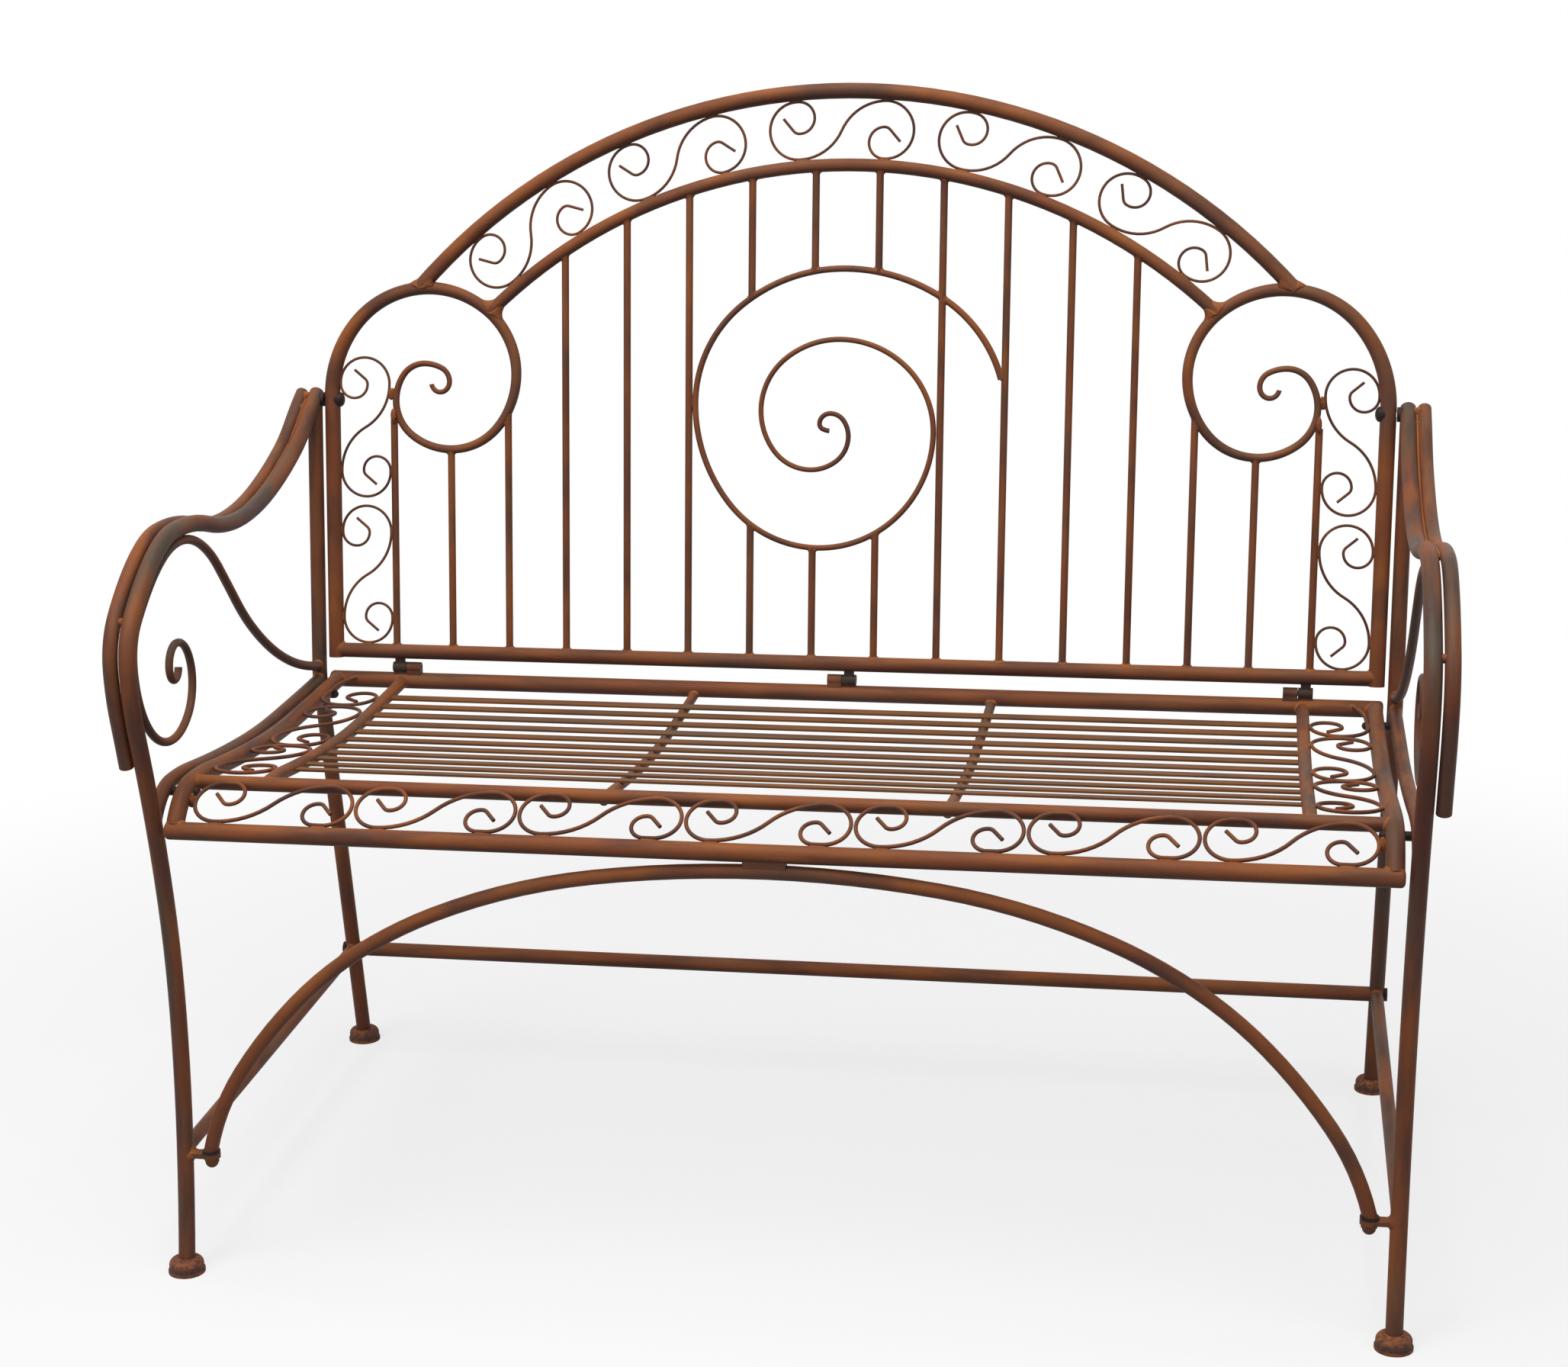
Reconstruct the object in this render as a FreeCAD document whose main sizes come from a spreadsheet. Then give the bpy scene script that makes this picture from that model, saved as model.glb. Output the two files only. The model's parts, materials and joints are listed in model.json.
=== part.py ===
import FreeCAD, Part
import Sketcher
import math
import os

Vector = FreeCAD.Vector
os.makedirs("parts", exist_ok=True)
doc = FreeCAD.newDocument("garden_bench")
sheet = doc.addObject("Spreadsheet::Sheet", "Sizes")

# Driving sizes in millimetres and degrees: setbacks from the front feet, heights from the floor
sizes = (
    ("leg_tube", 15.5),
    ("slim_tube", 13.4),
    ("seat_tube", 16.4),
    ("rear_rail_tube", 17.0),
    ("inner_rail_tube", 12.6),
    ("back_tube", 16.0),
    ("back_rail_tube", 15.2),
    ("outer_arch_tube", 15.4),
    ("inner_arch_tube", 12.8),
    ("tube_wall", 1.5),
    ("end_cap", 3.0),
    ("corner_round", 4.0),
    ("arm_rod", 9.6),
    ("arm_rod_tip", 7.2),
    ("volute_tip", 5.0),
    ("cross_rod", 9.6),
    ("slat_width", 14.0),
    ("slat_thickness", 2.0),
    ("bar_rod", 7.4),
    ("spiral_rod", 6.8),
    ("spiral_tip", 5.0),
    ("seat_wire", 3.7),
    ("back_wire", 2.8),
    ("weld_bite", 0.4),
    ("clear_gap", 0.5),
    ("frame_half_width", 555.0),
    ("arm_tube_gap", 1.3),
    ("leg_bow_setback", 27.0),
    ("leg_bow_height", 250.0),
    ("leg_foot_angle", 78.5),
    ("knee_reach", 3.0),
    ("knee_height", 470.0),
    ("knee_angle", 104.0),
    ("brow_reach", 28.5),
    ("brow_height", 590.0),
    ("shoulder_setback", 33.0),
    ("shoulder_height", 664.0),
    ("shoulder_angle", 30.0),
    ("crest_setback", 105.0),
    ("crest_height", 686.0),
    ("dip_setback", 290.0),
    ("dip_height", 659.5),
    ("rise_setback", 459.0),
    ("rise_height", 692.0),
    ("rise_angle", 20.0),
    ("arm_end_setback", 545.0),
    ("arm_end_height", 736.5),
    ("arm_end_angle", 25.0),
    ("arm_tail_reach", 9.8),
    ("arm_tail_height", 497.0),
    ("arm_spacer", 8.0),
    ("arm_spacer_height", 630.0),
    ("rear_spacer_setback", 522.0),
    ("rear_foot_setback", 581.5),
    ("rear_bend_setback", 499.0),
    ("rear_bend_height", 445.0),
    ("rear_bend_radius", 60.0),
    ("rear_top_setback", 538.0),
    ("foot_diameter", 34.5),
    ("foot_ring", 3.0),
    ("foot_cap", 32.4),
    ("foot_shoulder", 6.0),
    ("foot_height", 14.0),
    ("foot_floor", 3.0),
    ("stretcher_height", 116.5),
    ("lug_height", 114.5),
    ("lug_thickness", 4.5),
    ("lug_width", 12.0),
    ("lug_eye", 17.0),
    ("arch_half_span", 529.5),
    ("arch_foot_angle", 76.0),
    ("arch_shoulder_reach", 300.0),
    ("arch_shoulder_drop", 53.5),
    ("arch_shoulder_angle", 23.5),
    ("arch_haunch_reach", 436.0),
    ("arch_haunch_drop", 147.5),
    ("arch_haunch_angle", 46.5),
    ("stud_depth", 8.0),
    ("washer_diameter", 17.0),
    ("washer_thickness", 2.5),
    ("nut_flats", 12.5),
    ("nut_height", 4.0),
    ("pad_length", 38.0),
    ("pad_width", 11.0),
    ("pad_thickness", 2.0),
    ("bolt_shank", 6.0),
    ("bolt_play", 0.2),
    ("bolt_depth", 14.0),
    ("seat_bolt_head", 9.0),
    ("seat_bolt_crown", 5.0),
    ("back_bolt_head", 15.0),
    ("back_bolt_crown", 4.4),
    ("flat_head", 14.0),
    ("flat_head_height", 3.0),
    ("seat_spacer", 8.5),
    ("back_spacer", 14.5),
    ("seat_half_width", 535.0),
    ("apron_setback", 1.5),
    ("apron_height", 435.5),
    ("apron_angle", 58.0),
    ("hump_setback", 52.0),
    ("hump_height", 466.0),
    ("fall_setback", 150.0),
    ("fall_height", 455.5),
    ("fall_angle", 7.5),
    ("dish_setback", 350.0),
    ("dish_height", 440.5),
    ("seat_rear_setback", 502.0),
    ("seat_rear_height", 442.0),
    ("seat_rear_angle", 1.5),
    ("inner_rail_half_width", 464.5),
    ("cross_half_width", 153.5),
    ("slat_first", 122.0),
    ("slat_pitch", 31.5),
    ("slat_count", 11),
    ("front_bolt_setback", 38.0),
    ("rear_bolt_setback", 455.0),
    ("apron_scrolls", 7),
    ("apron_scroll_lift", 6.0),
    ("apron_end_gap", 3.0),
    ("apron_scroll_shift", 0.33),
    ("scroll_shift", 0.05),
    ("seat_scroll_length", 158.0),
    ("seat_scroll_gap", 8.5),
    ("seat_scroll_lift", 3.8),
    ("hook_end_share", -0.18),
    ("hook_end_angle", 40.0),
    ("scroll_small_ratio", 0.55),
    ("scroll_hook_ratio", 0.5),
    ("scroll_hook_angle", 50.0),
    ("scroll_tail_ratio", 1.0),
    ("hinge_barrel", 11.0),
    ("hinge_knuckle", 14.5),
    ("hinge_pin", 6.0),
    ("hinge_play", 0.05),
    ("hinge_spacing", 459.5),
    ("hinge_tab", 10.0),
    ("hinge_tab_thickness", 4.0),
    ("back_setback", 503.0),
    ("back_height", 473.0),
    ("back_lean", 7.7),
    ("back_half_width", 536.0),
    ("back_bolt_rise", 261.0),
    ("outer_arch_top", 571.5),
    ("outer_arch_reach", 442.0),
    ("inner_arch_top", 499.5),
    ("inner_arch_reach", 368.0),
    ("volute_start", 266.0),
    ("volute_x", 432.0),
    ("volute_top", 380.5),
    ("volute_inner_x", 340.3),
    ("volute_low_x", 410.5),
    ("volute_low", 216.5),
    ("left_volute_drop", 5.0),
    ("bar_pitch", 64.1),
    ("outer_bar_pitch", 60.6),
    ("outer_bar_top", 246.0),
    ("arch_scrolls", 5),
    ("arch_scroll_length", 144.0),
    ("arch_scroll_spacing", 170.0),
    ("arch_scroll_offset", -7.0),
    ("back_scroll_length", 143.0),
    ("back_scroll_gap", 7.0),
)
for row, (alias, value) in enumerate(sizes, start=1):
    sheet.set("A%d" % row, alias)
    sheet.set("B%d" % row, str(value))
    sheet.setAlias("B%d" % row, alias)
doc.recompute()


def size(alias):
    return float(sheet.get(alias))


def half(alias):
    return size(alias) / 2


# The frame origin lies under the middle of the bench's depth
front_edge = -size("brow_reach") - half("leg_tube")
depth_shift = -(front_edge + size("rear_foot_setback") + half("foot_diameter")) / 2
x_axis = Vector(1, 0, 0)
y_axis = Vector(0, 1, 0)
z_axis = Vector(0, 0, 1)


class Plane:
    def __init__(self, origin, across, up):
        self.origin = origin
        self.across = across
        self.up = up
        self.normal = across.cross(up)

    def at(self, u, v):
        return self.origin + self.across * u + self.up * v


def side_plane(x):
    return Plane(Vector(x, depth_shift, 0), y_axis, z_axis)


# Curves: stations are (u, v, heading in degrees), joined by pairs of tangent arcs
def arc_edge(plane, start, heading, end):
    du, dv = end[0] - start[0], end[1] - start[1]
    normal = (-math.sin(heading), math.cos(heading))
    offset = du * normal[0] + dv * normal[1]
    if abs(offset) < 1e-6:
        return Part.LineSegment(plane.at(*start), plane.at(*end)).toShape(), heading
    radius = (du * du + dv * dv) / (2 * offset)
    centre = (start[0] + normal[0] * radius, start[1] + normal[1] * radius)
    first = math.atan2(start[1] - centre[1], start[0] - centre[0])
    last = math.atan2(end[1] - centre[1], end[0] - centre[0])
    turn = (last - first) % (2 * math.pi)
    if radius < 0:
        turn = turn - 2 * math.pi
    middle = first + turn / 2
    reach = abs(radius)
    between = (centre[0] + reach * math.cos(middle), centre[1] + reach * math.sin(middle))
    return Part.Arc(plane.at(*start), plane.at(*between), plane.at(*end)).toShape(), heading + turn


def joined_arcs(plane, first, second):
    u1, v1, a1 = first[0], first[1], math.radians(first[2])
    u2, v2, a2 = second[0], second[1], math.radians(second[2])
    du, dv = u2 - u1, v2 - v1
    spread = 1 - math.cos(a1 - a2)
    along = du * (math.cos(a1) + math.cos(a2)) + dv * (math.sin(a1) + math.sin(a2))
    chord = du * du + dv * dv
    if abs(du * math.sin(a1) - dv * math.cos(a1)) < 1e-6 and spread < 1e-9:
        return [arc_edge(plane, (u1, v1), a1, (u2, v2))[0]]
    if spread < 1e-9:
        reach = chord / (2 * along)
    else:
        reach = (math.sqrt(along * along + 2 * spread * chord) - along) / (2 * spread)
    meet = ((u1 + u2 + reach * (math.cos(a1) - math.cos(a2))) / 2,
            (v1 + v2 + reach * (math.sin(a1) - math.sin(a2))) / 2)
    edge, heading = arc_edge(plane, (u1, v1), a1, meet)
    return [edge, arc_edge(plane, meet, heading, (u2, v2))[0]]


def curve(plane, stations):
    edges = []
    for first, second in zip(stations, stations[1:]):
        edges += joined_arcs(plane, first, second)
    return Part.Wire(edges)


def trimmed(wire, head, tail):
    edges = list(wire.Edges)
    first, last = edges[0], edges[-1]
    edges[0] = first.Curve.toShape(first.getParameterByLength(head), first.LastParameter)
    if first is last:
        last = edges[0]
    edges[-1] = last.Curve.toShape(last.FirstParameter, last.getParameterByLength(last.Length - tail))
    return Part.Wire(edges)


level_samples = 800


def levels(wire, plane, wanted, along):
    # The other coordinate, in order, wherever the wire passes the wanted value along one plane axis
    axis, other = (plane.across, plane.up) if along == "u" else (plane.up, plane.across)
    spots = [spot - plane.origin for spot in wire.discretize(level_samples)]
    found = []
    for first, second in zip(spots, spots[1:]):
        low, high = first.dot(axis), second.dot(axis)
        if (low - wanted) * (high - wanted) <= 0 and low != high:
            share = (wanted - low) / (high - low)
            found.append(first.dot(other) + share * (second.dot(other) - first.dot(other)))
    return found


# Document objects
def path_object(name, wire):
    path = doc.addObject("Part::Feature", name)
    path.Shape = wire
    return path


def swept(name, wire, radius):
    path = path_object(name + "_path", wire)
    ring = doc.addObject("Part::Circle", name + "_section")
    ring.setExpression("Radius", radius)
    edge = wire.OrderedEdges[0]
    start = edge.FirstParameter if edge.Orientation == "Forward" else edge.LastParameter
    ahead = edge.tangentAt(start)
    inside = ahead.cross(wire.findPlane().Axis)
    facing = FreeCAD.Rotation(inside, ahead.cross(inside), ahead, "ZXY")
    ring.Placement = FreeCAD.Placement(edge.valueAt(start), facing)
    rod = doc.addObject("Part::Sweep", name)
    rod.Sections = [ring]
    rod.Spine = (path, ["Edge%d" % count for count in range(1, len(wire.Edges) + 1)])
    rod.Solid = True
    rod.Frenet = False
    return rod


def straight(name, start, end, radius):
    rod = doc.addObject("Part::Cylinder", name)
    rod.setExpression("Radius", radius)
    rod.Height = (end - start).Length
    rod.Placement = FreeCAD.Placement(start, FreeCAD.Rotation(z_axis, end - start))
    return rod


def tapered(name, plane, wire, start_diameter, end_diameter):
    # A rod whose thickness falls evenly along a flat curve, so one swept section does not fit
    pipe = Part.BRepOffsetAPI.MakePipeShell(wire)
    pipe.setBiNormalMode(plane.normal)
    first, last = wire.OrderedEdges[0], wire.OrderedEdges[-1]
    for edge, place, diameter in ((first, first.FirstParameter, start_diameter),
                                  (last, last.LastParameter, end_diameter)):
        ring = Part.makeCircle(half(diameter), edge.valueAt(place), edge.tangentAt(place))
        pipe.add(Part.Wire([ring]))
    pipe.build()
    pipe.makeSolid()
    rod = doc.addObject("Part::Feature", name)
    rod.Shape = pipe.shape()
    return rod


def cut(base, tools):
    for tool in tools:
        remainder = doc.addObject("Part::Cut", base.Name + "_cut")
        remainder.Base = base
        remainder.Tool = tool
        base = remainder
    return base


def fused(name, pieces):
    union = doc.addObject("Part::MultiFuse", name)
    union.Shapes = pieces
    return union


def rounded_ends(name, rod):
    rounded = doc.addObject("Part::Fillet", name + "_rounded")
    rounded.Base = rod
    doc.recompute()
    radius = size("corner_round")
    rounded.Edges = [(count, radius, radius) for count, edge in enumerate(rod.Shape.Edges, start=1)
                     if isinstance(edge.Curve, Part.Circle)]
    return rounded


def grouped(name, pieces):
    group = doc.addObject("Part::Compound", name)
    group.Links = pieces
    return group


def box(name, corner, length, width, height):
    block = doc.addObject("Part::Box", name)
    block.setExpression("Length", length)
    block.setExpression("Width", width)
    block.setExpression("Height", height)
    block.Placement.Base = corner
    return block


def radius_of(alias):
    return "Sizes.%s / 2" % alias


def bore_of(alias):
    return "Sizes.%s / 2 - Sizes.tube_wall" % alias


def shank_hole(name, start, end):
    return straight(name, start, end, "Sizes.bolt_shank / 2 + Sizes.bolt_play")


def dome_bolt(name, kind, face, seat, tip, skin):
    # The dome stands just off the tube, and a collar fills the space down to the round of the tube
    head = radius_of(kind + "_head")
    dome = doc.addObject("Part::Ellipsoid", name + "_dome")
    dome.setExpression("Radius1", "Sizes.%s_crown" % kind)
    dome.setExpression("Radius2", head)
    dome.setExpression("Radius3", head)
    dome.Angle1 = 0
    dome.Placement = FreeCAD.Placement(face, FreeCAD.Rotation(z_axis, face - tip))
    collar = straight(name + "_collar", face, seat, head)
    shank = straight(name + "_shank", face, tip, radius_of("bolt_shank"))
    return fused(name, [dome, cut(collar, [skin]), shank])


nodes = []


def node(name, piece):
    piece.Label = name
    nodes.append((name, piece))
    return piece


sides = (("left", -1), ("right", 1))
frame_x = size("frame_half_width")
bite = size("weld_bite")

# Centre lines of one side frame
leg_stations = (
    (0, size("foot_floor"), size("leg_foot_angle")),
    (size("leg_bow_setback"), size("leg_bow_height"), 90),
    (-size("knee_reach"), size("knee_height"), size("knee_angle")),
)
arm_stations = (
    (-size("brow_reach"), size("brow_height"), 90),
    (size("shoulder_setback"), size("shoulder_height"), size("shoulder_angle")),
    (size("crest_setback"), size("crest_height"), 0),
    (size("dip_setback"), size("dip_height"), 0),
    (size("rise_setback"), size("rise_height"), size("rise_angle")),
    (size("arm_end_setback"), size("arm_end_height"), size("arm_end_angle")),
)
tail_station = (-size("arm_tail_reach"), size("arm_tail_height"), size("knee_angle"))


def bent_stations(foot, bend, top, radius):
    lower = math.atan2(bend[1] - foot[1], bend[0] - foot[0])
    upper = math.atan2(top[1] - bend[1], top[0] - bend[0])
    reach = radius * math.tan(abs(upper - lower) / 2)
    return (
        (foot[0], foot[1], math.degrees(lower)),
        (bend[0] - reach * math.cos(lower), bend[1] - reach * math.sin(lower), math.degrees(lower)),
        (bend[0] + reach * math.cos(upper), bend[1] + reach * math.sin(upper), math.degrees(upper)),
        (top[0], top[1], math.degrees(upper)),
    )


middle = side_plane(0)
leg_line = curve(middle, leg_stations + arm_stations)
rear_top = (size("rear_top_setback"), levels(leg_line, middle, size("rear_top_setback"), "u")[-1])
rear_stations = bent_stations((size("rear_foot_setback"), size("foot_floor")),
                              (size("rear_bend_setback"), size("rear_bend_height")), rear_top,
                              size("rear_bend_radius"))
contour = (
    (size("hump_setback"), size("hump_height"), 0),
    (size("fall_setback"), size("fall_height"), -size("fall_angle")),
    (size("dish_setback"), size("dish_height"), 0),
    (size("seat_rear_setback"), size("seat_rear_height"), size("seat_rear_angle")),
)
rail_stations = ((size("apron_setback"), size("apron_height"), size("apron_angle")),) + contour

rear_line = curve(middle, rear_stations)
rail_line = curve(middle, rail_stations)
stretcher_front = levels(leg_line, middle, size("stretcher_height"), "v")[0]
stretcher_rear = levels(rear_line, middle, size("stretcher_height"), "v")[0]
lug_setback = levels(leg_line, middle, size("lug_height"), "v")[0]
seat_x = size("seat_half_width")

# The apron slopes up from the apron rail to the front rail, and its scroll wires lie on top of both
apron_rise = Vector(0, size("hump_setback") - size("apron_setback"),
                    size("hump_height") - size("apron_height"))
apron_run = apron_rise.Length
apron_up = apron_rise / apron_run
apron_normal = x_axis.cross(apron_up)
lift = size("apron_scroll_lift")


def rail_height(setback):
    return levels(rail_line, middle, setback, "u")[0]


# The seat bolts pass through the side rails just under the scroll wires
bolt_drop = half("seat_bolt_head") + half("seat_wire") + size("clear_gap") - size("seat_scroll_lift")
bolt_places = [(setback, rail_height(setback) - bolt_drop)
               for setback in (size("front_bolt_setback"), size("rear_bolt_setback"))]

# Backrest plane: u runs across, v runs up the leaning plane from the bottom rail
lean = math.radians(size("back_lean"))
back = Plane(Vector(0, size("back_setback") + depth_shift, size("back_height")), x_axis,
             Vector(0, math.sin(lean), math.cos(lean)))
back_x = size("back_half_width")
bolt_rise = size("back_bolt_rise")
volute_curl = (
    (size("volute_x"), size("volute_top"), 180),
    (size("volute_inner_x"), 295, 270),
    (size("volute_low_x"), size("volute_low"), 360),
    (468, 265, 450),
    (437, 304, 540),
    (411, 286, 630),
    (421, 275, 720),
    (430, 283, 800),
)


def volute_stations(drop):
    curl = tuple((u, v - drop, heading) for u, v, heading in volute_curl)
    return ((back_x, size("volute_start"), 90),) + curl


def point(x, setback, height):
    return Vector(x, setback + depth_shift, height)


# Side frames: legs with arms, outer arm tubes, rear legs, seat supports, stretchers, arm scrolls, feet
def solid_and_bore(name, wire, tube, head, tail):
    skin = swept(name + "_skin", wire, radius_of(tube))
    bore = swept(name + "_bore", trimmed(wire, head, tail), bore_of(tube))
    return skin, bore


def straight_tube(name, start, end, tube, plug):
    along = (end - start).normalize()
    skin = straight(name + "_skin", start, end, radius_of(tube))
    bore = straight(name + "_bore", start + along * plug, end - along * plug, bore_of(tube))
    return skin, bore


def foot(name, tip, leg_skin):
    body = doc.addObject("PartDesign::Body", name + "_cap")
    sketch = body.newObject("Sketcher::SketchObject", name + "_profile")
    upright_planes = [item for item in body.Origin.OriginFeatures if item.Role == "XZ_Plane"]
    sketch.AttachmentSupport = [(item, "") for item in upright_planes]
    sketch.MapMode = "FlatFace"
    ring, cap = radius_of("foot_diameter"), radius_of("foot_cap")
    ring_top, cap_top = "Sizes.foot_ring", "Sizes.foot_height"
    corners = (("", ""), (ring, ""), (ring, ring_top), (cap, ring_top), (cap, cap_top), ("", cap_top))
    across, up = (half("foot_diameter"), half("foot_cap")), (size("foot_ring"), size("foot_height"))
    spots = ((0, 0), (across[0], 0), (across[0], up[0]), (across[1], up[0]), (across[1], up[1]), (0, up[1]))
    for start, end in zip(spots, spots[1:] + spots[:1]):
        sketch.addGeometry(Part.LineSegment(Vector(*start, 0), Vector(*end, 0)))
    count = len(spots)
    for index in range(count):
        sketch.addConstraint(Sketcher.Constraint("Coincident", index, 2, (index + 1) % count, 1))
    sketch.addConstraint(Sketcher.Constraint("Coincident", 0, 1, -1, 1))
    sketch.addConstraint(Sketcher.Constraint("PointOnObject", count - 1, 1, -2))
    for index, bound in enumerate(corners):
        for kind, expression, value in zip(("DistanceX", "DistanceY"), bound, spots[index]):
            if expression:
                place = sketch.addConstraint(Sketcher.Constraint(kind, -1, 1, index, 1, value))
                sketch.setExpression("Constraints[%d]" % place, expression)
    sketch.addConstraint(Sketcher.Constraint("Horizontal", 0))
    turned = body.newObject("PartDesign::Revolution", name + "_turned")
    turned.Profile = sketch
    turned.ReferenceAxis = (sketch, ["V_Axis"])
    turned.Angle = 360
    doc.recompute()
    rim = [index for index, edge in enumerate(turned.Shape.Edges, start=1)
           if isinstance(edge.Curve, Part.Circle) and abs(edge.Curve.Radius - half("foot_cap")) < 1e-6
           and abs(edge.Curve.Center.z - size("foot_height")) < 1e-6]
    rounded = body.newObject("PartDesign::Fillet", name + "_rounded")
    rounded.Base = (turned, ["Edge%d" % rim[0]])
    rounded.setExpression("Radius", "Sizes.foot_shoulder")
    body.Placement.Base = tip
    return node(name, cut(body, [leg_skin]))


skins = {}
for side, sign in sides:
    x = sign * frame_x
    plane = side_plane(x)
    leg_path = curve(plane, leg_stations + arm_stations)
    leg_skin, leg_bore = solid_and_bore(side + "_leg", leg_path, "leg_tube", 0, size("end_cap"))
    rear_skin, rear_bore = solid_and_bore(side + "_rear", curve(plane, rear_stations), "leg_tube", 0, 0)
    support_line = trimmed(curve(plane, rail_stations), half("slim_tube"), 0)
    support_skin, support_bore = solid_and_bore(side + "_support", support_line, "slim_tube", 0, 0)
    tie_skin, tie_bore = straight_tube(side + "_tie", point(x, stretcher_front, size("stretcher_height")),
                                       point(x, stretcher_rear, size("stretcher_height")), "slim_tube", 0)
    outer_x = sign * (frame_x + half("leg_tube") + size("arm_tube_gap") + half("slim_tube"))
    outer_skin, outer_bore = solid_and_bore(
        side + "_outer", curve(side_plane(outer_x), (tail_station,) + arm_stations), "slim_tube",
        size("end_cap"), size("end_cap"))
    skins[side] = {"leg": leg_skin, "rear": rear_skin, "support": support_skin, "outer": outer_skin,
                   "tie": tie_skin}

    stretcher_end = point(x, stretcher_rear, size("stretcher_height"))
    through = x_axis * size("leg_tube")
    stretcher_hole = shank_hole(side + "_stretcher_hole", stretcher_end - through, stretcher_end + through)
    bolt_holes = []
    for place in bolt_places:
        inside = point(x - sign * size("slim_tube"), *place)
        bolt_holes.append(shank_hole(side + "_support_hole", inside, point(x, *place)))
    node(side + "_front_leg_arm", cut(leg_skin, [leg_bore]))
    node(side + "_outer_arm_tube", cut(outer_skin, [outer_bore]))
    node(side + "_rear_leg", cut(rear_skin, [rear_bore, stretcher_hole, leg_skin]))
    node(side + "_seat_support", cut(support_skin, [support_bore, leg_skin, rear_skin] + bolt_holes))
    node(side + "_side_stretcher", cut(tie_skin, [tie_bore, leg_skin, rear_skin]))

    rod_offset = half("leg_tube") + half("arm_rod")
    loose = rod_offset + size("clear_gap")
    turn = math.radians(size("shoulder_angle"))
    scroll_line = curve(plane, (
        (500, 456, 168),
        (300, 547, 143),
        (215, 628, 135),
        (size("crest_setback") + 6, size("crest_height") - rod_offset + bite, 180),
        (size("shoulder_setback") + loose * math.sin(turn),
         size("shoulder_height") - loose * math.cos(turn), 180 + size("shoulder_angle")),
        (loose - size("brow_reach"), size("brow_height"), 270),
        (70, 501, 360),
        (126, 546, 450),
        (90, 585, 540),
        (70, 566, 630),
        (82, 553, 720),
        (93, 562, 800),
    ))
    scroll_rod = tapered(side + "_scroll_rod", plane, scroll_line, "arm_rod", "arm_rod_tip")
    node(side + "_arm_scroll", cut(scroll_rod, [leg_skin, rear_skin]))
    foot("front_%s_foot" % side, point(x, 0, 0), leg_skin)
    foot("rear_%s_foot" % side, point(x, size("rear_foot_setback"), 0), rear_skin)

front_spacer_setback = levels(leg_line, middle, size("arm_spacer_height"), "v")[0]
rear_spacer_height = levels(leg_line, middle, size("rear_spacer_setback"), "u")[0]
spacer_places = ((front_spacer_setback, size("arm_spacer_height")),
                 (size("rear_spacer_setback"), rear_spacer_height))
arm_spacers = []
for side, sign in sides:
    reach = frame_x + half("leg_tube") + size("arm_tube_gap") + half("slim_tube")
    for place in spacer_places:
        disc = straight(side + "_arm_spacer", point(sign * frame_x, *place), point(sign * reach, *place),
                        radius_of("arm_spacer"))
        arm_spacers.append(cut(disc, [skins[side]["leg"], skins[side]["outer"]]))
node("arm_spacers", grouped("arm_spacer_set", arm_spacers))

# Rear stretcher, bolted through the rear legs
rear_ends = [point(sign * frame_x, stretcher_rear, size("stretcher_height")) for side, sign in sides]
rear_skin, rear_bore = straight_tube("rear_stretcher", rear_ends[0], rear_ends[1], "leg_tube",
                                     half("leg_tube") + 1.5 * size("bolt_depth"))
stretcher_bolts = []
stretcher_holes = []
for (side, sign), end in zip(sides, rear_ends):
    inward = x_axis * -sign
    seat = end - inward * half("leg_tube")
    tip = end + inward * (half("leg_tube") + size("bolt_depth"))
    shank = straight(side + "_stretcher_shank", seat, tip, radius_of("bolt_shank"))
    head = straight(side + "_stretcher_head", seat, seat - inward * size("flat_head_height"),
                    radius_of("flat_head"))
    stretcher_bolts.append(fused(side + "_stretcher_bolt", [shank, head]))
    stretcher_holes.append(shank_hole(side + "_stretcher_bore", end, tip))
leg_sides = [skins[side][part] for side, sign in sides for part in ("rear", "tie")]
node("rear_stretcher", cut(rear_skin, [rear_bore] + leg_sides + stretcher_holes))
node("stretcher_bolts", grouped("stretcher_bolt_set", stretcher_bolts))

# Seat frame
rail_reach = seat_x + half("seat_tube") + bite
apron_ends = [point(sign * rail_reach, size("apron_setback"), size("apron_height")) for side, sign in sides]
apron_rod, apron_bore = straight_tube("apron", apron_ends[0], apron_ends[1], "seat_tube", size("end_cap"))
apron_skin = rounded_ends("apron", apron_rod)
node("seat_apron_rail", cut(apron_skin, [apron_bore]))
rear_rail_ends = [point(sign * rail_reach, size("seat_rear_setback"), size("seat_rear_height"))
                  for side, sign in sides]
rear_rail_rod, rear_rail_bore = straight_tube("rear_rail", rear_rail_ends[0], rear_rail_ends[1],
                                              "rear_rail_tube", size("end_cap"))
rear_rail_skin = rounded_ends("rear_rail", rear_rail_rod)
node("seat_rear_rail", cut(rear_rail_skin, [rear_rail_bore]))

rail_skins = {}
inner_skins = {}
for side, sign in sides:
    x = sign * seat_x
    line = trimmed(curve(side_plane(x), rail_stations), half("seat_tube") / 2, 0)
    skin, bore = solid_and_bore(side + "_side_rail", line, "seat_tube", 0, 0)
    holes = [shank_hole(side + "_rail_hole", point(x - sign * size("seat_tube"), *place),
                        point(x + sign * size("seat_tube"), *place)) for place in bolt_places]
    node(side + "_seat_side_rail", cut(skin, [bore, apron_skin, rear_rail_skin] + holes))
    rail_skins[side] = skin
front_rail_ends = [point(sign * seat_x, size("hump_setback"), size("hump_height")) for side, sign in sides]
front_skin, front_bore = straight_tube("front_rail", front_rail_ends[0], front_rail_ends[1], "slim_tube", 0)
node("seat_front_rail", cut(front_skin, [front_bore, rail_skins["left"], rail_skins["right"]]))
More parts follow.
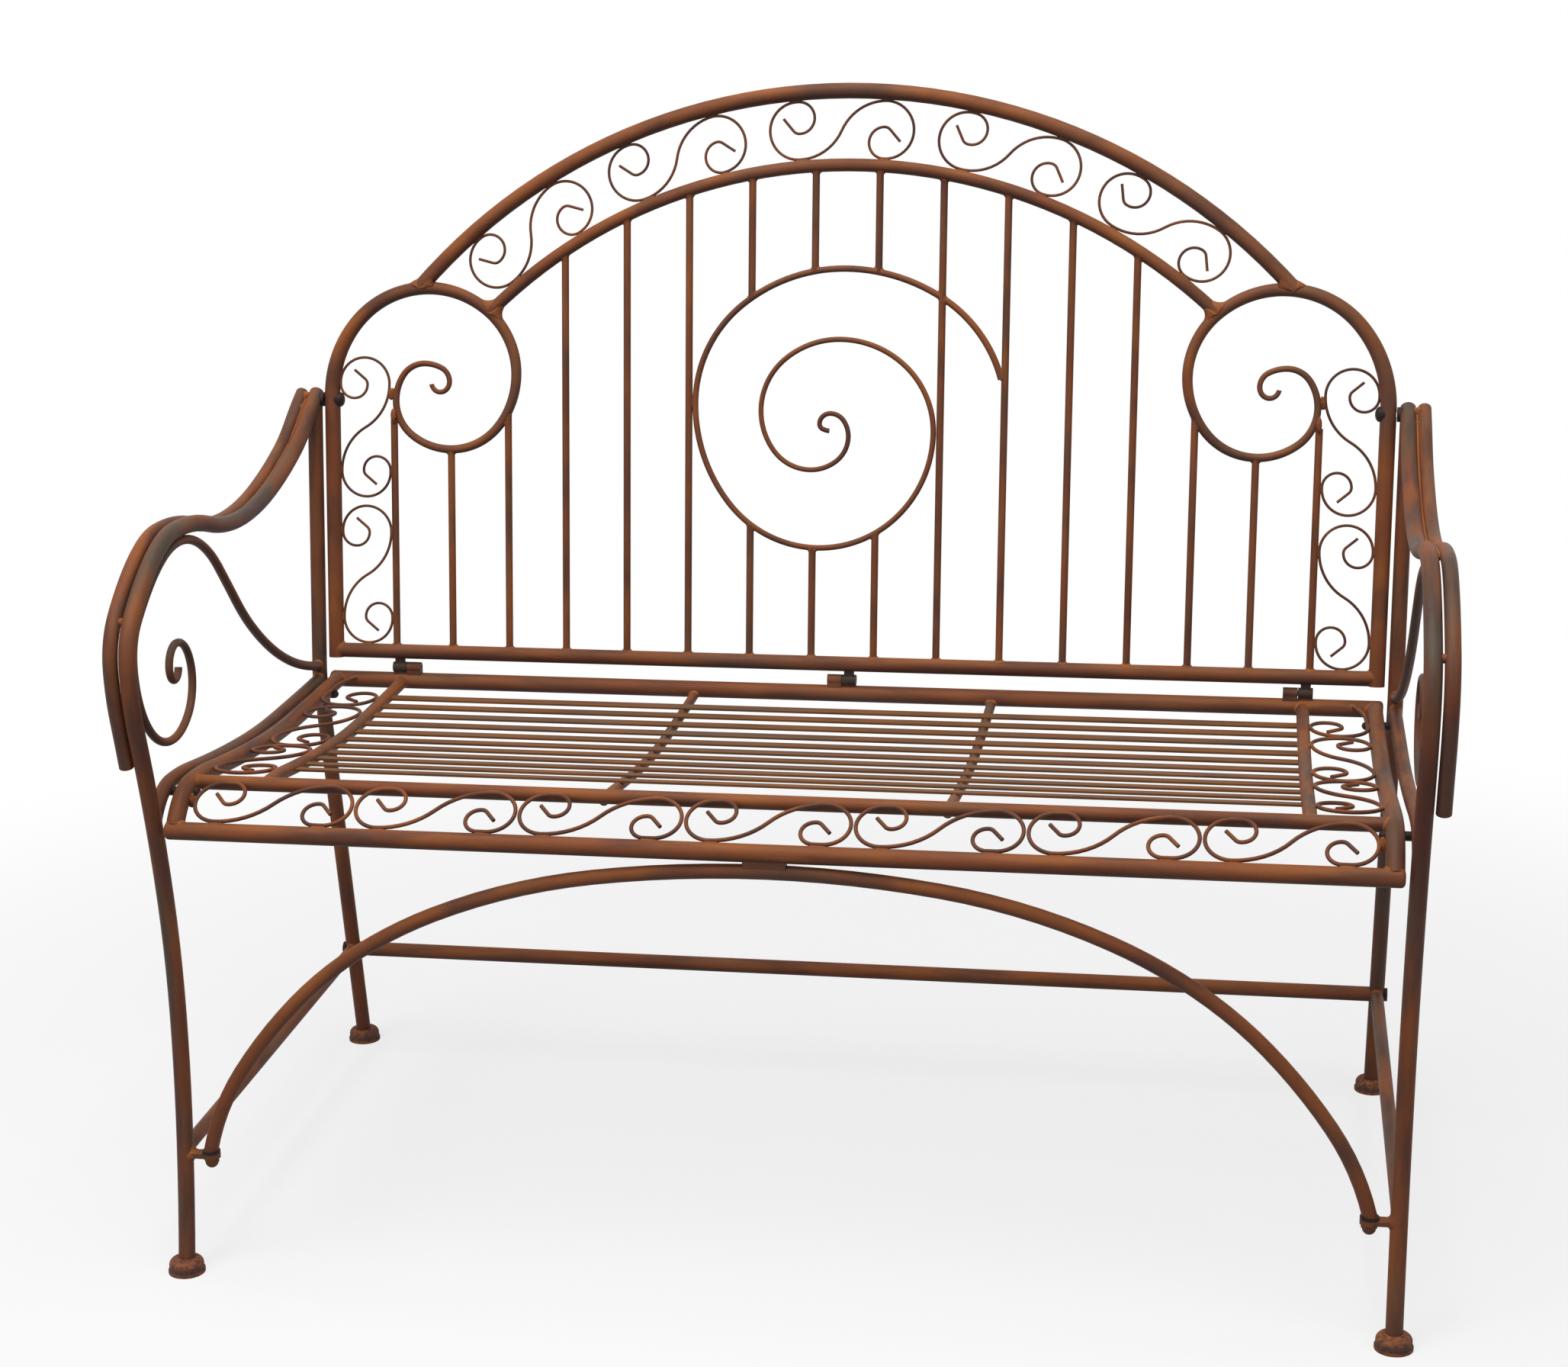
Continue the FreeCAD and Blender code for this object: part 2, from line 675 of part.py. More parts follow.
for side, sign in sides:
    line = curve(side_plane(sign * size("inner_rail_half_width")), contour)
    skin, bore = solid_and_bore(side + "_inner_rail", line, "inner_rail_tube", 0, 0)
    node(side + "_seat_inner_rail", cut(skin, [bore, front_skin, rear_rail_skin]))
    inner_skins[side] = skin
cross_drop = half("cross_rod") + half("slat_thickness") - bite
cross_skins = []
for side, sign in sides:
    plane = side_plane(sign * size("cross_half_width"))
    plane.origin = plane.origin - z_axis * cross_drop
    line = trimmed(curve(plane, contour), half("cross_rod"), half("cross_rod"))
    skin = swept(side + "_cross", line, radius_of("cross_rod"))
    cross_skins.append(skin)
    node(side + "_cross_bar", cut(skin, [front_skin, rear_rail_skin]))
slats = []
for index in range(int(size("slat_count"))):
    setback = size("slat_first") + index * size("slat_pitch")
    rise = rail_height(setback + half("slat_width")) - rail_height(setback - half("slat_width"))
    slope = FreeCAD.Rotation(x_axis, math.degrees(math.atan2(rise, size("slat_width"))))
    corner = Vector(-size("inner_rail_half_width"), -half("slat_width"), -half("slat_thickness"))
    slat = box("slat", point(0, setback, rail_height(setback)) + slope.multVec(corner),
               "2 * Sizes.inner_rail_half_width", "Sizes.slat_width", "Sizes.slat_thickness")
    slat.Placement.Rotation = slope
    slats.append(slat)
node("seat_slats", cut(grouped("slat_set", slats), list(inner_skins.values()) + cross_skins))

# Seat bolts and the dark spacers between the seat and its supports
seat_bolts = []
seat_spacers = []
for side, sign in sides:
    for place in bolt_places:
        face = point(sign * (seat_x - half("seat_tube") - bite), *place)
        rail_axis = point(sign * seat_x, *place)
        tip = point(sign * frame_x, *place)
        seat_bolts.append(dome_bolt(side + "_seat_bolt", "seat_bolt", face, rail_axis, tip,
                                    rail_skins[side]))
        spacer = straight(side + "_seat_spacer", rail_axis, tip, radius_of("seat_spacer"))
        hole = shank_hole(side + "_spacer_hole", face, tip)
        seat_spacers.append(cut(spacer, [rail_skins[side], skins[side]["support"], hole]))
node("seat_bolts", grouped("seat_bolt_set", seat_bolts))
node("seat_spacers", grouped("seat_spacer_set", seat_spacers))

# Front arch on its lugs
arch_foot = size("lug_height") + size("washer_thickness")
arch_apex = size("apron_height") - half("seat_tube") - size("pad_thickness") - half("slim_tube")
arch_up = Vector(0, size("apron_setback") - lug_setback, arch_apex - arch_foot)
arch_rise = arch_up.Length
arch_plane = Plane(point(0, lug_setback, arch_foot), x_axis, arch_up.normalize())
span = size("arch_half_span")
lean_out = math.radians(size("arch_foot_angle"))
tail = size("slim_tube")
arch_half = (
    (size("arch_shoulder_reach"), arch_rise - size("arch_shoulder_drop"), -size("arch_shoulder_angle")),
    (size("arch_haunch_reach"), arch_rise - size("arch_haunch_drop"), -size("arch_haunch_angle")),
    (span, 0, -size("arch_foot_angle")),
)
arch_mirror = tuple((-u, v, -heading) for u, v, heading in reversed(arch_half))
arch_stations = arch_mirror + ((0, arch_rise, 0),) + arch_half
arch_line = curve(arch_plane, (
    (-span - tail * math.cos(lean_out), -tail * math.sin(lean_out), size("arch_foot_angle")),
    *arch_stations,
    (span + tail * math.cos(lean_out), -tail * math.sin(lean_out), -size("arch_foot_angle")),
))
arch_skin = swept("arch_skin", arch_line, radius_of("slim_tube"))
arch_plug = 2 * size("stud_depth")
arch_bore = swept("arch_bore", trimmed(curve(arch_plane, arch_stations), arch_plug, arch_plug),
                  bore_of("slim_tube"))
floor_cut = box("arch_floor", point(-frame_x, lug_setback - 3 * tail, arch_foot - 3 * tail),
                "2 * Sizes.frame_half_width", "6 * Sizes.slim_tube", "3 * Sizes.slim_tube")
arch_holes = []
arch_bolts = []
arch_washers = []
arch_nuts = []
for side, sign in sides:
    base = point(sign * span, lug_setback, size("lug_height"))
    under = base - z_axis * size("lug_thickness")
    seat = base + z_axis * size("washer_thickness")
    low = under - z_axis * size("nut_height")
    high = seat + z_axis * size("stud_depth")
    corner = point(min(sign * frame_x, sign * span), lug_setback - half("lug_width"),
                   size("lug_height") - size("lug_thickness"))
    plate = box(side + "_lug_plate", corner, "Sizes.frame_half_width - Sizes.arch_half_span",
                "Sizes.lug_width", "Sizes.lug_thickness")
    eye = straight(side + "_lug_eye", under, base, radius_of("lug_eye"))
    hole = shank_hole(side + "_arch_hole", low, high)
    lug_cuts = [skins[side]["leg"], skins[side]["tie"], hole]
    node(side + "_arch_lug", cut(fused(side + "_lug", [plate, eye]), lug_cuts))
    arch_holes.append(hole)
    arch_bolts.append(straight(side + "_stud", low, high, radius_of("bolt_shank")))
    washer = straight(side + "_washer", base, seat, radius_of("washer_diameter"))
    arch_washers.append(cut(washer, [hole]))
    flats = doc.addObject("Part::Prism", side + "_nut_flats")
    flats.Polygon = 6
    flats.setExpression("Circumradius", "Sizes.nut_flats / sqrt(3)")
    flats.setExpression("Height", "Sizes.nut_height")
    flats.Placement.Base = low
    crown = doc.addObject("Part::Sphere", side + "_nut_crown")
    crown.setExpression("Radius", "Sizes.nut_flats / 2")
    crown.Angle2 = 0
    crown.Placement.Base = low
    arch_nuts.append(cut(fused(side + "_nut", [flats, crown]), [hole]))
node("front_arch", cut(arch_skin, [arch_bore, floor_cut] + arch_holes))
node("arch_bolts", grouped("arch_bolt_set", arch_bolts))
node("arch_washers", grouped("arch_washer_set", arch_washers))
node("arch_nuts", grouped("arch_nut_set", arch_nuts))
pad = box("pad_block", point(-half("pad_length"), size("apron_setback") - half("pad_width"), arch_apex),
          "Sizes.pad_length", "Sizes.pad_width", "Sizes.apron_height - %f" % arch_apex)
node("arch_pad", cut(pad, [arch_skin, apron_skin]))


# Scrolls: an S whose ends curl back in a smaller loop with a straight tail, sized by its centre line
def scroll_half(length, width, shift):
    loop = width / 2
    small = loop * size("scroll_small_ratio")
    hook = small * size("scroll_hook_ratio")
    tail_length = small * size("scroll_tail_ratio")
    turn = math.radians(size("scroll_hook_angle"))
    reach = length / 2 - loop
    curl = reach - loop * shift
    bend = (curl + hook * math.sin(turn), 2 * small - loop - hook + hook * math.cos(turn))
    return (
        (0, 0, 2 * math.degrees(math.atan2(loop, reach))),
        (reach, loop, 0),
        (reach, -loop, -180),
        (curl, -loop, -180),
        (curl, 2 * small - loop, -360),
        (*bend, -360 - size("scroll_hook_angle")),
        (bend[0] + tail_length * math.cos(turn), bend[1] - tail_length * math.sin(turn),
         -360 - size("scroll_hook_angle")),
    )


def scroll_stations(length, width, shift):
    right = scroll_half(length, width, shift)
    left = tuple((-u, -v, heading) for u, v, heading in reversed(right[1:]))
    return left + right


def scroll(name, plane, length, width, shift, wire):
    return swept(name, curve(plane, scroll_stations(length, width, size(shift))), radius_of(wire))


seat_wire = half("seat_wire")
apron_low = math.sqrt((half("seat_tube") + seat_wire - bite) ** 2 - lift ** 2)
apron_high = apron_run - math.sqrt((half("slim_tube") + seat_wire - bite) ** 2 - lift ** 2)
apron_count = int(size("apron_scrolls"))
apron_pitch = 2 * (seat_x - half("seat_tube") - size("apron_end_gap")) / apron_count
apron_scrolls = []
apron_middle = point(0, size("apron_setback"), size("apron_height"))
apron_middle = apron_middle + apron_up * ((apron_low + apron_high) / 2) + apron_normal * lift
for index in range(apron_count):
    origin = apron_middle + x_axis * ((index - (apron_count - 1) / 2) * apron_pitch)
    apron_scrolls.append(scroll("apron_scroll", Plane(origin, x_axis, apron_up),
                                apron_pitch - 2 * seat_wire - size("clear_gap"),
                                apron_high - apron_low, "apron_scroll_shift", "seat_wire"))
node("apron_scrolls", cut(grouped("apron_scroll_set", apron_scrolls),
                          [apron_skin, front_skin, rail_skins["left"], rail_skins["right"]]))

# Seat scrolls rest on the upper flanks of the side rail and the inner rail
seat_lift = size("seat_scroll_lift")
inner_edge = size("inner_rail_half_width") + math.sqrt(
    (half("inner_rail_tube") + seat_wire - bite) ** 2 - seat_lift ** 2)
outer_edge = seat_x - math.sqrt((half("seat_tube") + seat_wire - bite) ** 2 - seat_lift ** 2)
seat_scroll_width = outer_edge - inner_edge
seat_scroll_middle = (inner_edge + outer_edge) / 2
seat_loop = seat_scroll_width / 2


def seat_scroll_plane(sign, start, end):
    x = sign * seat_scroll_middle
    near = point(x, start + seat_loop, rail_height(start + seat_loop))
    far = point(x, end - seat_loop, rail_height(end - seat_loop))
    plane = Plane((near + far) / 2, (far - near).normalize(), x_axis * -sign)
    plane.origin = plane.origin + plane.normal * (sign * seat_lift)
    return plane


scroll_run = size("seat_scroll_length")
first_start = size("hump_setback") + half("slim_tube") + seat_wire + size("seat_scroll_gap")
second_start, hook_start = [first_start + (scroll_run + size("seat_wire") + size("clear_gap")) * count
                            for count in (1, 2)]
hook_stop = size("seat_rear_setback") + seat_loop
hook_run = hook_stop - hook_start
hook_curl = len(scroll_half(hook_run, seat_scroll_width, size("scroll_shift"))) - 1
hook_end = (hook_run / 2 - seat_loop, seat_scroll_width * size("hook_end_share"), size("hook_end_angle"))
for side, sign in sides:
    pieces = []
    for start in (first_start, second_start):
        plane = seat_scroll_plane(sign, start, start + scroll_run)
        pieces.append(scroll(side + "_seat_scroll", plane, scroll_run, seat_scroll_width, "scroll_shift",
                             "seat_wire"))
    curl = scroll_stations(hook_run, seat_scroll_width, size("scroll_shift"))[:hook_curl]
    hook_line = curve(seat_scroll_plane(sign, hook_start, hook_stop), curl + (hook_end,))
    pieces.append(swept(side + "_seat_hook", hook_line, radius_of("seat_wire")))
    node(side + "_seat_scrolls", cut(grouped(side + "_seat_scroll_set", pieces),
                                     [rail_skins[side], inner_skins[side], front_skin, rear_rail_skin]))

# Backrest: uprights with volutes, rails, arches, bars and scrolls
volute_skins = {}
volute_lines = {}
volute_drops = {"left": size("left_volute_drop"), "right": 0}
back_bolts = []
back_spacers = []
for side, sign in sides:
    foot_end = back.at(sign * back_x, -half("back_rail_tube"))
    start = back.at(sign * back_x, size("volute_start"))
    post, post_bore = straight_tube(side + "_upright", foot_end, start, "back_tube", size("end_cap"))
    mirrored = Plane(back.origin, x_axis * sign, back.up)
    volute_lines[side] = curve(mirrored, volute_stations(volute_drops[side]))
    volute = tapered(side + "_volute", mirrored, volute_lines[side], "back_tube", "volute_tip")
    upright = fused(side + "_upright_skin", [post, volute])
    face = back.at(sign * (back_x - half("back_tube") - bite), bolt_rise)
    tip = back.at(sign * (back_x + half("back_tube") - size("clear_gap")), bolt_rise)
    arm = back.at(sign * frame_x, bolt_rise)
    past = x_axis * (sign * 2 * size("clear_gap"))
    hole = shank_hole(side + "_back_hole", face - past, tip + past)
    node(side + "_back_upright", cut(upright, [post_bore, hole]))
    volute_skins[side] = upright
    post_axis = back.at(sign * back_x, bolt_rise)
    back_bolts.append(dome_bolt(side + "_back_bolt", "back_bolt", face, post_axis, tip, upright))
    spacer = straight(side + "_back_spacer", tip + past, arm, radius_of("back_spacer"))
    arm_hole = shank_hole(side + "_arm_hole", face, arm)
    back_spacers.append(cut(spacer, [skins[side]["leg"], skins[side]["rear"], arm_hole]))
node("back_bolts", grouped("back_bolt_set", back_bolts))
node("back_spacers", grouped("back_spacer_set", back_spacers))
volutes = [volute_skins["left"], volute_skins["right"]]

rail_ends = [back.at(sign * back_x, 0) for side, sign in sides]
rail_skin, rail_bore = straight_tube("back_rail", rail_ends[0], rail_ends[1], "back_rail_tube", 0)
node("back_bottom_rail", cut(rail_skin, [rail_bore] + volutes))


# Each arch springs from the two volutes: an arc on either side of its crown
def arch_arc(side, sign, top, reach):
    end = max(levels(volute_lines[side], back, sign * reach, "u"))
    radius = (reach ** 2 + (top - end) ** 2) / (2 * (top - end))
    return end, radius, math.degrees(math.asin(reach / radius))


def back_arch(top, reach):
    left, right = [arch_arc(side, sign, top, reach) for side, sign in sides]
    return curve(back, ((-reach, left[0], left[2]), (0, top, 0), (reach, right[0], -right[2])))


outer_line = back_arch(size("outer_arch_top"), size("outer_arch_reach"))
outer_skin, outer_bore = solid_and_bore("outer_arch", outer_line, "outer_arch_tube", 0, 0)
node("back_outer_arch", cut(outer_skin, [outer_bore] + volutes))
inner_line = back_arch(size("inner_arch_top"), size("inner_arch_reach"))
inner_skin, inner_bore = solid_and_bore("inner_arch", inner_line, "inner_arch_tube", 0, 0)
node("back_inner_arch", cut(inner_skin, [inner_bore] + volutes))

bars_each_side = 5
bar_xs = [size("bar_pitch") * (index + 0.5) for index in range(bars_each_side)]
outer_bar_xs = [bar_xs[-1] + size("outer_bar_pitch") * count for count in (1, 2, 3)]
touch = half("bar_rod") + half("spiral_rod") - bite
spiral_line = curve(back, (
    (bar_xs[2] - half("bar_rod"), 290, 106),
    (-2, 398, 180),
    (touch - bar_xs[2], 262, 270),
    (-27, 118, 360),
    (bar_xs[1] - touch, 236, 450),
    (-6, 328, 540),
    (-86, 256, 630),
    (-35, 197, 720),
    (3.5, 231, 810),
    (-15, 254, 900),
    (-26, 243.5, 990),
    (-16, 236.5, 1075),
))
spiral = tapered("spiral_rod", back, spiral_line, "spiral_rod", "spiral_tip")


def bar(name, x, low, high):
    return straight(name, back.at(x, low), back.at(x, high), radius_of("bar_rod"))


def inner_height(x):
    return levels(inner_line, back, x, "u")[0]


long_xs = [sign * x for side, sign in sides for x in bar_xs[2:]]
long_bars = [bar("long_bar", x, 0, inner_height(x)) for x in long_xs]
node("back_long_bars", cut(grouped("long_bar_set", long_bars), [rail_skin, inner_skin]))
short_xs = [sign * x for side, sign in sides for x in bar_xs[:2]]
crossings = {x: levels(spiral_line, back, x, "u") for x in short_xs}
upper_bars = [bar("upper_bar", x, max(crossings[x]), inner_height(x)) for x in short_xs]
lower_bars = [bar("lower_bar", x, 0, min(crossings[x])) for x in short_xs]
node("back_upper_bars", cut(grouped("upper_bar_set", upper_bars), [spiral, inner_skin]))
node("back_lower_bars", cut(grouped("lower_bar_set", lower_bars), [spiral, rail_skin]))
bar_tools = [bar("spiral_stop", sign * bar_xs[2], 0, size("inner_arch_top")) for side, sign in sides]
node("centre_spiral", cut(spiral, bar_tools))
volute_bars = []
for side, sign in sides:
    for x in outer_bar_xs[:2]:
        ring_low = min(levels(volute_lines[side], back, sign * x, "u"))
        volute_bars.append(bar("volute_bar", sign * x, 0, ring_low))
    bar_top = size("outer_bar_top") - volute_drops[side]
    volute_bars.append(bar("volute_bar", sign * outer_bar_xs[2], 0, bar_top))
node("volute_bars", cut(grouped("volute_bar_set", volute_bars), [rail_skin] + volutes))

back_wire = half("back_wire")
arch_length = size("arch_scroll_length")
arch_count = int(size("arch_scrolls"))
arch_gap = (size("outer_arch_top") - half("outer_arch_tube")
            - size("inner_arch_top") - half("inner_arch_tube"))
hold = arch_length / 2 - arch_gap / 2 + back_wire
arch_scrolls = []
for index in range(arch_count):
    place = (index - (arch_count - 1) / 2) * size("arch_scroll_spacing") + size("arch_scroll_offset")
    side, sign = sides[0] if place < 0 else sides[1]
    outer_radius = arch_arc(side, sign, size("outer_arch_top"), size("outer_arch_reach"))[1]
    inner_radius = arch_arc(side, sign, size("inner_arch_top"), size("inner_arch_reach"))[1]
    centre_drop = size("outer_arch_top") - outer_radius - size("inner_arch_top") + inner_radius
    tilt = 2 * place / (outer_radius + inner_radius - centre_drop)
    outer_reach = outer_radius - half("outer_arch_tube") - back_wire + bite
    inner_reach = inner_radius - centre_drop * math.cos(tilt) + half("inner_arch_tube") + back_wire - bite
    high = math.sqrt(outer_reach ** 2 - hold ** 2)
    low = math.sqrt(inner_reach ** 2 - hold ** 2)
    along = x_axis * math.cos(tilt) - back.up * math.sin(tilt)
    out = x_axis * math.sin(tilt) + back.up * math.cos(tilt)
    centre = back.at(0, size("outer_arch_top") - outer_radius) + out * ((high + low) / 2)
    arch_scrolls.append(scroll("arch_scroll", Plane(centre, along, out), arch_length, high - low,
                               "scroll_shift", "back_wire"))
node("arch_scrolls", cut(grouped("arch_scroll_set", arch_scrolls), [outer_skin, inner_skin]))

scroll_faces = (outer_bar_xs[2] + half("bar_rod"), back_x - half("back_tube"))
side_scroll_width = scroll_faces[1] - scroll_faces[0] - 2 * back_wire + 2 * bite
back_length = size("back_scroll_length")
first_rise = half("back_rail_tube") + back_wire - bite + back_length / 2
rises = (first_rise, first_rise + back_length + 2 * back_wire + size("back_scroll_gap"))
for side, sign in sides:
    pieces = [scroll(side + "_back_scroll",
                     Plane(back.at(sign * sum(scroll_faces) / 2, rise), back.up, x_axis * -sign),
                     back_length, side_scroll_width, "scroll_shift", "back_wire") for rise in rises]
    tools = [rail_skin, volute_skins[side]]
    tools.append(bar(side + "_scroll_stop", sign * outer_bar_xs[2], 0, size("outer_bar_top")))
    node(side + "_back_scrolls", cut(grouped(side + "_back_scroll_set", pieces), tools))

# Hinges between the seat's rear rail and the backrest's bottom rail
hinge_height = size("seat_rear_height") + half("rear_rail_tube") + half("hinge_barrel") + size("clear_gap")
knuckle = size("hinge_knuckle")
seat_knuckles = []
back_knuckles = []
pins = []
for x, outward in ((-size("hinge_spacing"), -1), (0, 1), (size("hinge_spacing"), 1)):
    gap = half("clear_gap") * outward
    ends = (x + gap, x + gap + knuckle * outward)
    far = (x - gap, x - gap - knuckle * outward)
    axis_at = [point(place, size("seat_rear_setback"), hinge_height) for place in ends + far]
    back_barrel = straight("back_barrel", axis_at[0], axis_at[1], radius_of("hinge_barrel"))
    tab_corner = point((ends[0] + ends[1] - size("hinge_tab")) / 2,
                       size("seat_rear_setback") - half("hinge_tab_thickness"), hinge_height)
    tab = box("back_tab", tab_corner, "Sizes.hinge_tab", "Sizes.hinge_tab_thickness",
              "Sizes.back_height - %f" % hinge_height)
    back_hole = straight("back_knuckle_hole", axis_at[0], axis_at[1],
                         "Sizes.hinge_pin / 2 + Sizes.hinge_play")
    back_knuckles.append(cut(fused("back_knuckle", [back_barrel, tab]), [rail_skin, back_hole]))
    seat_barrel = straight("seat_barrel", axis_at[2], axis_at[3], radius_of("hinge_barrel"))
    saddle_corner = point(min(far), size("seat_rear_setback") - half("hinge_tab"), size("seat_rear_height"))
    saddle = box("seat_saddle", saddle_corner, "Sizes.hinge_knuckle", "Sizes.hinge_tab",
                 "%f - Sizes.seat_rear_height" % hinge_height)
    seat_hole = straight("seat_knuckle_hole", axis_at[2], axis_at[3], radius_of("hinge_pin"))
    seat_knuckles.append(cut(fused("seat_knuckle", [seat_barrel, saddle]), [rear_rail_skin, seat_hole]))
    pins.append(straight("hinge_pin", axis_at[3], axis_at[1], radius_of("hinge_pin")))
node("hinge_seat_knuckles", grouped("seat_knuckle_set", seat_knuckles))
node("hinge_back_knuckles", grouped("back_knuckle_set", back_knuckles))
node("hinge_pins", grouped("hinge_pin_set", pins))

doc.recompute()
faults = [item.Name for item in doc.Objects if "Invalid" in item.State or "Error" in item.State]
for name, piece in nodes:
    if piece.Shape.isNull() or not piece.Shape.isValid() or not piece.Shape.Solids:
        faults.append(name)
if faults:
    raise RuntimeError("objects that failed: %s" % ", ".join(faults))
for name, piece in nodes:
    piece.Shape.exportStep("parts/%s.step" % name)
print("nodes", len(nodes))
print("hinge axis y %.2f z %.2f" % (size("seat_rear_setback") + depth_shift, hinge_height))
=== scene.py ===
import json
import math

import bmesh
import bpy
from mathutils import Matrix, Vector, noise
from mathutils.bvhtree import BVHTree


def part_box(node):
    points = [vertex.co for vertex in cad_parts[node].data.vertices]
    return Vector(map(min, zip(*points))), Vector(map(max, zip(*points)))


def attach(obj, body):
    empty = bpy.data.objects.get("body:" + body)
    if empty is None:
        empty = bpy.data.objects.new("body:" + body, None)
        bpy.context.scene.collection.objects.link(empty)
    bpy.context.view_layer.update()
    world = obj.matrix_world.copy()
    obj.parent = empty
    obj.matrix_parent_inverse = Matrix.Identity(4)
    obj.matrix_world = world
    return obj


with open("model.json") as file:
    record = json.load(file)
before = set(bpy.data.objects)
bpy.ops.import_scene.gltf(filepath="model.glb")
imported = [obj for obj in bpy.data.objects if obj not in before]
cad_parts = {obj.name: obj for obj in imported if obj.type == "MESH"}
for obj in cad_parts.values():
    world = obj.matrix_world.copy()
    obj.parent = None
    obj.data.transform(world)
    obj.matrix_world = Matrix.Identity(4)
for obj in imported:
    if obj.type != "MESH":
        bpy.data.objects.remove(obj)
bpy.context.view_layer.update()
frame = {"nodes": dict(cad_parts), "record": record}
nodes = frame["nodes"]
print("frame loaded with %d nodes" % len(nodes))


# A socket that can stand in a sum: each operator adds one Math node
class Wire:
    def __init__(self, bench, socket):
        self.bench = bench
        self.socket = socket

    def join(self, operation, first, second):
        return self.bench.add("ShaderNodeMath", {"operation": operation}, {0: first, 1: second})

    def __add__(self, other):
        return self.join("ADD", self, other)

    def __radd__(self, other):
        return self.join("ADD", other, self)

    def __sub__(self, other):
        return self.join("SUBTRACT", self, other)

    def __rsub__(self, other):
        return self.join("SUBTRACT", other, self)

    def __mul__(self, other):
        return self.join("MULTIPLY", self, other)

    def __rmul__(self, other):
        return self.join("MULTIPLY", other, self)


# A place to build one node tree: add makes any node, the other methods make the ones used often
class Bench:
    def __init__(self, tree):
        self.tree = tree
        tree.nodes.clear()

    def add(self, kind, settings=None, sockets=None, output=0):
        made = self.tree.nodes.new(kind)
        for name, value in (settings or {}).items():
            setattr(made, name, value)
        for key, value in (sockets or {}).items():
            if isinstance(value, Wire):
                self.tree.links.new(value.socket, made.inputs[key])
            else:
                made.inputs[key].default_value = value
        return Wire(self, made.outputs[output]) if len(made.outputs) else None

    def cloud(self, place, grainSize, detail=2, rough=0.5, twist=0.0):
        return self.add("ShaderNodeTexNoise", {}, {
            "Vector": place, "Scale": 1 / grainSize, "Detail": detail, "Roughness": rough,
            "Distortion": twist})

    def step(self, value, low, high):  # 0 below low, 1 above high, smooth between
        return self.add("ShaderNodeMapRange", {"interpolation_type": "SMOOTHSTEP"},
                        {"Value": value, "From Min": low, "From Max": high})

    def mix(self, mask, low, high):  # a Mix node keeps its colours in sockets 6 and 7, and its result in 2
        return self.add("ShaderNodeMix", {"data_type": "RGBA"}, {0: mask, 6: low, 7: high}, 2)

    def seen(self):  # 1 for what the camera, a reflection or a clear piece shows, 0 for plain lighting
        camera, glossy, clear = [self.add("ShaderNodeLightPath", output="Is %s Ray" % kind)
                                 for kind in ("Camera", "Glossy", "Transmission")]
        return self.add("ShaderNodeMath", {"operation": "ADD", "use_clamp": True},
                        {0: camera + glossy, 1: clear})

    def finish(self, base, rough, height, look):  # the last nodes of a steel, with its bump and shine
        bump = self.add("ShaderNodeBump", {}, {
            "Height": height, "Strength": look["bumpStrength"], "Distance": look["bumpDepth"]})
        shader = self.add("ShaderNodeBsdfPrincipled", {}, {
            "Base Color": base, "Roughness": rough, "Specular IOR Level": look["shine"], "Normal": bump})
        self.add("ShaderNodeOutputMaterial", {}, {"Surface": shader})


def newBench(name):
    material = bpy.data.materials.new(name)
    material.use_nodes = True
    return material, Bench(material.node_tree)


def colour(*screen):  # red, green and blue as a screen shows them, 0 to 255, made linear
    return tuple(((value / 255 + 0.055) / 1.055) ** 2.4 for value in screen) + (1,)


# Rusted steel: brown with orange rust, soft grey oxide clouds and a fine grain; painted light makes upper
# faces lighter and more orange, and painted shade makes undersides dark
rust = dict(
    brown=colour(127, 72, 43),
    olive=colour(104, 67, 33),
    maroon=colour(82, 44, 34),
    orange=colour(164, 97, 46),
    oxide=colour(83, 73, 61),
    soot=colour(47, 41, 36),
    dusk=colour(74, 51, 44),
    # the colour of the painted shade on the undersides
    under=colour(52, 34, 27),
    driftSize=0.2,
    hazeSize=0.17,
    bloomSize=0.09,
    patchSize=0.07,
    speckSize=0.0045,
    grainSize=0.0012,
    fleck=0.05,  # how far the small specks break the edges of the clouds
    # litSpan, litLift: painted light, which turns upper faces from maroon to the body colour
    litSpan=(0.2, 0.62),
    litLift=0.22,
    # glowLift: painted highlight, which pushes upper faces towards orange
    glowSpan=(0.46, 0.86),
    glowLift=0.16,
    glowFleck=0.06,
    coolSpan=(0.46, 0.72),
    sootSpan=(0.6, 0.82),
    duskSpan=(0.45, 0.8),
    duskShare=0.75,
    duskDark=0.5,
    # underSpan, underShare, underFleck: painted shade on the undersides
    underSpan=(0.18, 0.88),
    underShare=0.7,
    underFleck=0.15,
    grainSpan=(0.62, 0.38),
    grainShare=0.05,
    bumpSpeck=0.6,
    bumpGrain=0.4,
    bumpStrength=0.025,
    bumpDepth=0.0005,
    rough=0.56,
    coolRough=-0.06,
    speckRough=0.1,
    shine=0.2,
)
